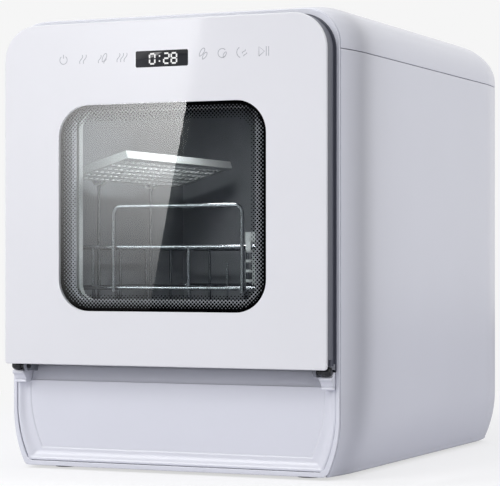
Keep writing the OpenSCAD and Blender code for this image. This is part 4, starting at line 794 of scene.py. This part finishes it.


# A dark strip closes the step at the door's side behind its tray, and a second one lies on the machine's rim,
# down to the hinge, where the door comes to rest. Both are painted shade: dark sheets that stand for the
# door's shadow in that gap, where the liner's side and the rim are pale.
side_outer, side_inner = (over_top(inset, [(0, 103.4)]) for inset in (1.5, 2.95))
side_shade_strip = horseshoe("door_side_painted_shade", side_outer, side_inner, -9.4, -1.7)
fit_out(side_shade_strip, "door", "rubber", material=dark_abs)
rim_feet = [(168.7, 98.5), (168.7, 105.0), (0, 105.0)]
rim_shade_strip = horseshoe("rim_painted_shade_strip", over_top(-0.9, [(0, 98.5)]), over_top(2.7, rim_feet), -0.9, -0.02)
fit_out(rim_shade_strip, "machine", "rubber", material=dark_abs)

# Polypropylene, moulded: a waxy pale grey, duller than ABS.
pale_pp = moulded_plastic("pale_polypropylene", "#D6D7D9", 0.4)
worn("door_liner", "liner_plug", 0.5, "door", "pale_plastic", pale_pp)


# ---------- tub ----------
# One deep box moulded in grey polypropylene, with a rubber seal round its mouth, rails for the basket on both
# sides and a lamp lens in its roof.

# The same polypropylene in mid grey, with a fine grain.
grey_pp = moulded_plastic("grey_polypropylene", "#8B8D93", 0.34, 0.9, 0.006)
worn("tub", "wash_tub", 0.8, "machine", "tub_grey", grey_pp)
worn("tub_gasket", "mouth_seal", 0.4, "machine", "rubber", black_rubber)
worn("basket_rails", "side_rails", 0.4, "machine", "pale_plastic", pale_pp)
worn("tub_lamp", "roof_lamp_lens", 0.4, "machine", "clear_glass", clear_float)
soft_lamp("tub_roof_light", (0.0, -0.139, 0.381), (0.02, -0.139, 0.1), (0.05, 0.05), 0.38)


# ---------- basket ----------
# Drawn stainless wire, bent and spot-welded: three hoops, uprights, a floor grid, the loop it is pulled by,
# posts with clips for the cup rack, and two rows of tines. It runs on plastic shoes.
def tube(path, r, closed=False, sides=12):
    """Round wire of radius r along a path. Each ring stands square to the path; its two cross directions are
    the last ring's, with the part along the new direction taken away, so that the wire doesn't twist."""
    p = np.asarray(path, float)
    ahead = np.roll(p, -1, 0) - p if closed else np.vstack([np.diff(p, axis=0), p[-1:] - p[-2:-1]])
    ahead /= np.linalg.norm(ahead, axis=1)[:, None]
    behind = np.roll(ahead, 1, 0) if closed else np.vstack([ahead[:1], ahead[:-1]])
    along = ahead + behind
    along /= np.linalg.norm(along, axis=1)[:, None]
    stretch = 1 / np.maximum(np.einsum("ij,ij->i", along, ahead), 0.5)
    across = np.cross(along[0], (0.3, 0.2, 0.93) if abs(along[0][2]) < 0.9 else (1.0, 0.1, 0))
    u, v = [], []
    for way in along:
        across = across - way * (across @ way)
        across /= np.linalg.norm(across)
        u.append(across)
        v.append(np.cross(way, across))
    t = np.linspace(0, 2 * math.pi, sides, endpoint=False)
    u, v = np.array(u)[:, None], np.array(v)[:, None]
    ring = np.cos(t)[None, :, None] * u + np.sin(t)[None, :, None] * v
    bend = ahead - behind
    size = np.linalg.norm(bend, axis=1)[:, None]
    bend = np.divide(bend, size, out=np.zeros_like(bend), where=size > 1e-6)
    lean = np.einsum("ijk,ik->ij", ring, bend)
    ring = ring + bend[:, None] * (lean * (stretch[:, None] - 1))[..., None]
    points = (p[:, None] + r * ring).reshape(-1, 3)
    return points, grid_skin(len(p), sides, looped=closed, filled=not closed)


def welded(name, runs):
    """One mesh of many wires; each run is (path, radius) or (path, radius, True) for a closed one."""
    piece = put(name, *joined(tube(*run) for run in runs))
    piece.data.set_sharp_from_angle(angle=math.radians(50))
    return outward(piece)


basket_half, basket_front, basket_back, rake_front, bend_r = 124.0, 17.0, 280.0, 27.0, 10.0
rim_z, mid_z, floor_z, clip_z = 213.5, 174.0, 150.0, 281.0
long_x = (-90, -45, 0, 45, 90)


def hoop(z, y_front):
    """A rectangle of wire with bent corners at one height."""
    x, y0, y1 = basket_half - bend_r, y_front + bend_r, basket_back - bend_r
    turns = ((x, y0, -90), (x, y1, 0), (-x, y1, 90), (-x, y0, 180))
    return np.vstack([np.c_[arc(x, y, bend_r, a, a + 90, 9), np.full(9, z)] for x, y, a in turns])


hoop_r, rod_r, long_r = 2.0, 1.3, 1.17
hoops = ((rim_z, basket_front), (mid_z, basket_front), (floor_z, rake_front))
wires = [(hoop(z, y), hoop_r, True) for z, y in hoops]
for x, r in ((-93, rod_r), (-68.5, rod_r), (10.6, 1.7), (68.5, rod_r)):
    upright = [(basket_front, rim_z), (basket_front, mid_z + 2), (basket_front + 0.6, mid_z - 2.5),
               (rake_front, floor_z)]
    wires.append(([(x, y, z) for y, z in upright], r))
wires += [([(x, basket_back, rim_z), (x, basket_back, floor_z)], rod_r) for x in long_x]
for x in (-basket_half, basket_half):
    wires += [([(x, y, rim_z), (x, y, floor_z)], rod_r) for y in (75, 134, 193, 252)]
wires += [([(-basket_half, y, floor_z), (basket_half, y, floor_z)], rod_r)
          for y in (52, 82, 112, 142, 172, 202, 232, 258)]
wires += [([(x, rake_front, floor_z + 1), (x, basket_back, floor_z + 1)], long_r) for x in long_x]
for y in (87, 204):
    wires.append(([(-basket_half, y, floor_z), (-basket_half, y, clip_z - 5)], 1.6))
    wires.append(([(-basket_half, y - 7, clip_z), (-basket_half, y + 7, clip_z)], hoop_r))
    wires.append(([(-basket_half, y, clip_z - 6), (-basket_half, y, clip_z)], 1.9))

# Stainless steel, cold drawn: a bright line along each wire, a little hazy from the die.
drawn_steel, tree, out, spot = blank("drawn_stainless_wire")
haze = add(tree, "ShaderNodeTexNoise", {"Vector": spot, "Scale": 160.0, "Detail": 2.0})
steel_rough = add(tree, "ShaderNodeMapRange", {"Value": haze.outputs[0], "To Min": 0.14, "To Max": 0.26})
steel_skin = add(tree, "ShaderNodeBsdfPrincipled", {"Base Color": srgb("#8A8C92"), "Metallic": 1.0,
                                                    "Roughness": steel_rough.outputs["Result"]})
tree.links.new(steel_skin.outputs[0], out)
fit_out(welded("wire_basket", wires), "dish_basket", "wire_steel", "basket", material=drawn_steel)

grip_half, grip_y, grip_z, grip_r = 68.5, 13.2, 253.0, 8.0
grip = np.vstack([[(grip_half, mid_z - 4)], arc(grip_half - grip_r, grip_z - grip_r, grip_r, 0, 90, 9),
                  arc(grip_r - grip_half, grip_z - grip_r, grip_r, 90, 180, 9), [(-grip_half, mid_z - 4)]])
grip = np.c_[grip[:, 0], np.full(len(grip), grip_y), grip[:, 1]]
loop = welded("pull_loop", [(grip, hoop_r)])
fit_out(loop, "dish_basket", "wire_steel", "basket_handle", material=drawn_steel)
foot_z, tip_z = 153.6, 197.9
tines = [([(8, y, foot_z), (108, y, foot_z)], rod_r) for y in (90, 190)]
for x in (18, 38, 58, 78, 98):
    tines += [([(x, y, foot_z), (x, y, tip_z - 0.9), (x, y, tip_z)], long_r) for y in (90, 190)]
fit_out(welded("dish_tines", tines), "dish_basket", "wire_steel", "plate_tines", material=drawn_steel)
worn("basket_glides", "rail_shoes", 0.4, "dish_basket", "pale_plastic", pale_pp)
worn("side_comb", "glass_comb", 0.35, "dish_basket", "pale_plastic", pale_pp)


# ---------- cup rack ----------
# A slotted shelf moulded in pale polypropylene that folds up on the basket's two posts.
worn("cup_rack", "folding_rack", 0.35, "rack", "pale_plastic", pale_pp)


# ---------- fill dish and lid ----------
# In the middle of the cover a shallow dish leads water to the tank; a round lid with a hinge closes it.
worn("fill_dish", "filling_dish", 0.4, "machine", "white_panel", white_abs)
worn("fill_lid", "filling_lid", 0.5, "lid", "white_panel", white_abs)


# ---------- back, base and feet ----------
# A flat ABS back with screws, a dark vent grille, and a pocket for the hose and cord fittings; a dark base
# pan stands on four rubber feet.
worn("back_panel", "back_plate", 0.5, "machine", "white_panel", white_abs)
worn("rear_grille", "vent_grille", 0.3, "machine", "door_grey", dark_abs)
worn("rear_fittings", "hose_fittings", 0.4, "machine", "door_grey", dark_abs)
# Polypropylene filled with glass fibre: dark grey, dull and slightly mottled.
dark_pp = moulded_plastic("glass_filled_polypropylene", "#45474C", 0.5, 1.5, 0.012, 0.05)
worn("base_pan", "base_tray", 0.5, "machine", "pump_grey", dark_pp)
worn("feet", "rubber_feet", 0.6, "machine", "rubber", black_rubber)


# ---------- works inside ----------
# Pumps, hoses, tank, board, fan and filter keep their solids and wear the finish of their own slot.

# Stainless sheet, brushed along its length: fine lines stretch the highlights across them.
sheet_steel, tree, out, spot = blank("brushed_stainless_sheet")
drawn = add(tree, "ShaderNodeMapping", {"Vector": spot, "Scale": (60.0, 2400.0, 2400.0)})
lines = add(tree, "ShaderNodeTexNoise", {"Vector": drawn.outputs[0], "Scale": 1.0, "Detail": 2.0})
brush = add(tree, "ShaderNodeBump", {"Height": lines.outputs[0], "Strength": 0.25, "Distance": 0.00003})
brushed = add(tree, "ShaderNodeBsdfPrincipled", {"Base Color": srgb("#BFC1C4"), "Metallic": 1.0,
                                                 "Roughness": 0.3, "Normal": brush.outputs[0]})
tree.links.new(brushed.outputs[0], out)

# Unpigmented polypropylene, blow-moulded: milky, with a little light in its depth.
natural_pp, tree, out, spot = blank("natural_polypropylene_tank")
cloud = add(tree, "ShaderNodeTexNoise", {"Vector": spot, "Scale": 14.0, "Detail": 3.0})
milky = add(tree, "ShaderNodeMix", {0: cloud.outputs[0], 6: srgb("#D5D6CE"), 7: srgb("#E3E4DE")},
            data_type="RGBA")
tank_skin = add(tree, "ShaderNodeBsdfPrincipled", {"Base Color": milky.outputs[2], "Roughness": 0.45,
                                                   "Subsurface Weight": 0.15, "Subsurface Scale": 0.004})
tree.links.new(tank_skin.outputs[0], out)

# Glass epoxy under green solder mask: glossy, with the cloth's weave just showing.
laminate, tree, out, spot = blank("green_glass_epoxy_board")
weave = add(tree, "ShaderNodeTexChecker", {"Vector": spot, "Color1": srgb("#1C5A3A"),
                                           "Color2": srgb("#206441"), "Scale": 1200.0})
board_skin = add(tree, "ShaderNodeBsdfPrincipled", {"Base Color": weave.outputs[0], "Roughness": 0.35})
tree.links.new(board_skin.outputs[0], out)

# Expanded polystyrene: dull white beads, pressed flat against each other.
beads, tree, out, spot = blank("expanded_polystyrene")
cells = add(tree, "ShaderNodeTexVoronoi", {"Vector": spot, "Scale": 350.0},
            feature="DISTANCE_TO_EDGE")
dent = add(tree, "ShaderNodeBump", {"Height": cells.outputs["Distance"], "Strength": 0.5, "Distance": 0.0004})
bead_skin = add(tree, "ShaderNodeBsdfPrincipled", {"Base Color": srgb("#EDEDEA"), "Roughness": 0.7,
                                                   "Normal": dent.outputs[0]})
tree.links.new(bead_skin.outputs[0], out)

# Black polypropylene has the pale one's soft gloss. The hinge's bracket wears a baked grey enamel, even and
# satin, and its pins are as black as the barrels.
black_pp = moulded_plastic("black_polypropylene", "#1D1E21", 0.42)
painted_steel = moulded_plastic("grey_painted_steel", "#7C7E86", 0.4)
finish_of = {"white_panel": white_abs, "pump_grey": dark_pp, "steel": sheet_steel, "rubber": black_rubber,
             "door_grey": dark_abs, "tub_grey": grey_pp, "pale_plastic": pale_pp, "clear_glass": clear_float,
             "black_plastic": black_pp, "white_glass": white_print, "board": laminate, "foam": beads,
             "wire_steel": drawn_steel, "tank_plastic": natural_pp}
for part in frame["record"]["subparts"]:
    solid = frame["nodes"][part["node"]]
    solid.data.materials.clear()
    solid.data.materials.append(finish_of[part["material_slot"]])
frame["nodes"]["hinge_brackets"].data.materials[0] = painted_steel
frame["nodes"]["hinge_pins"].data.materials[0] = black_acetal
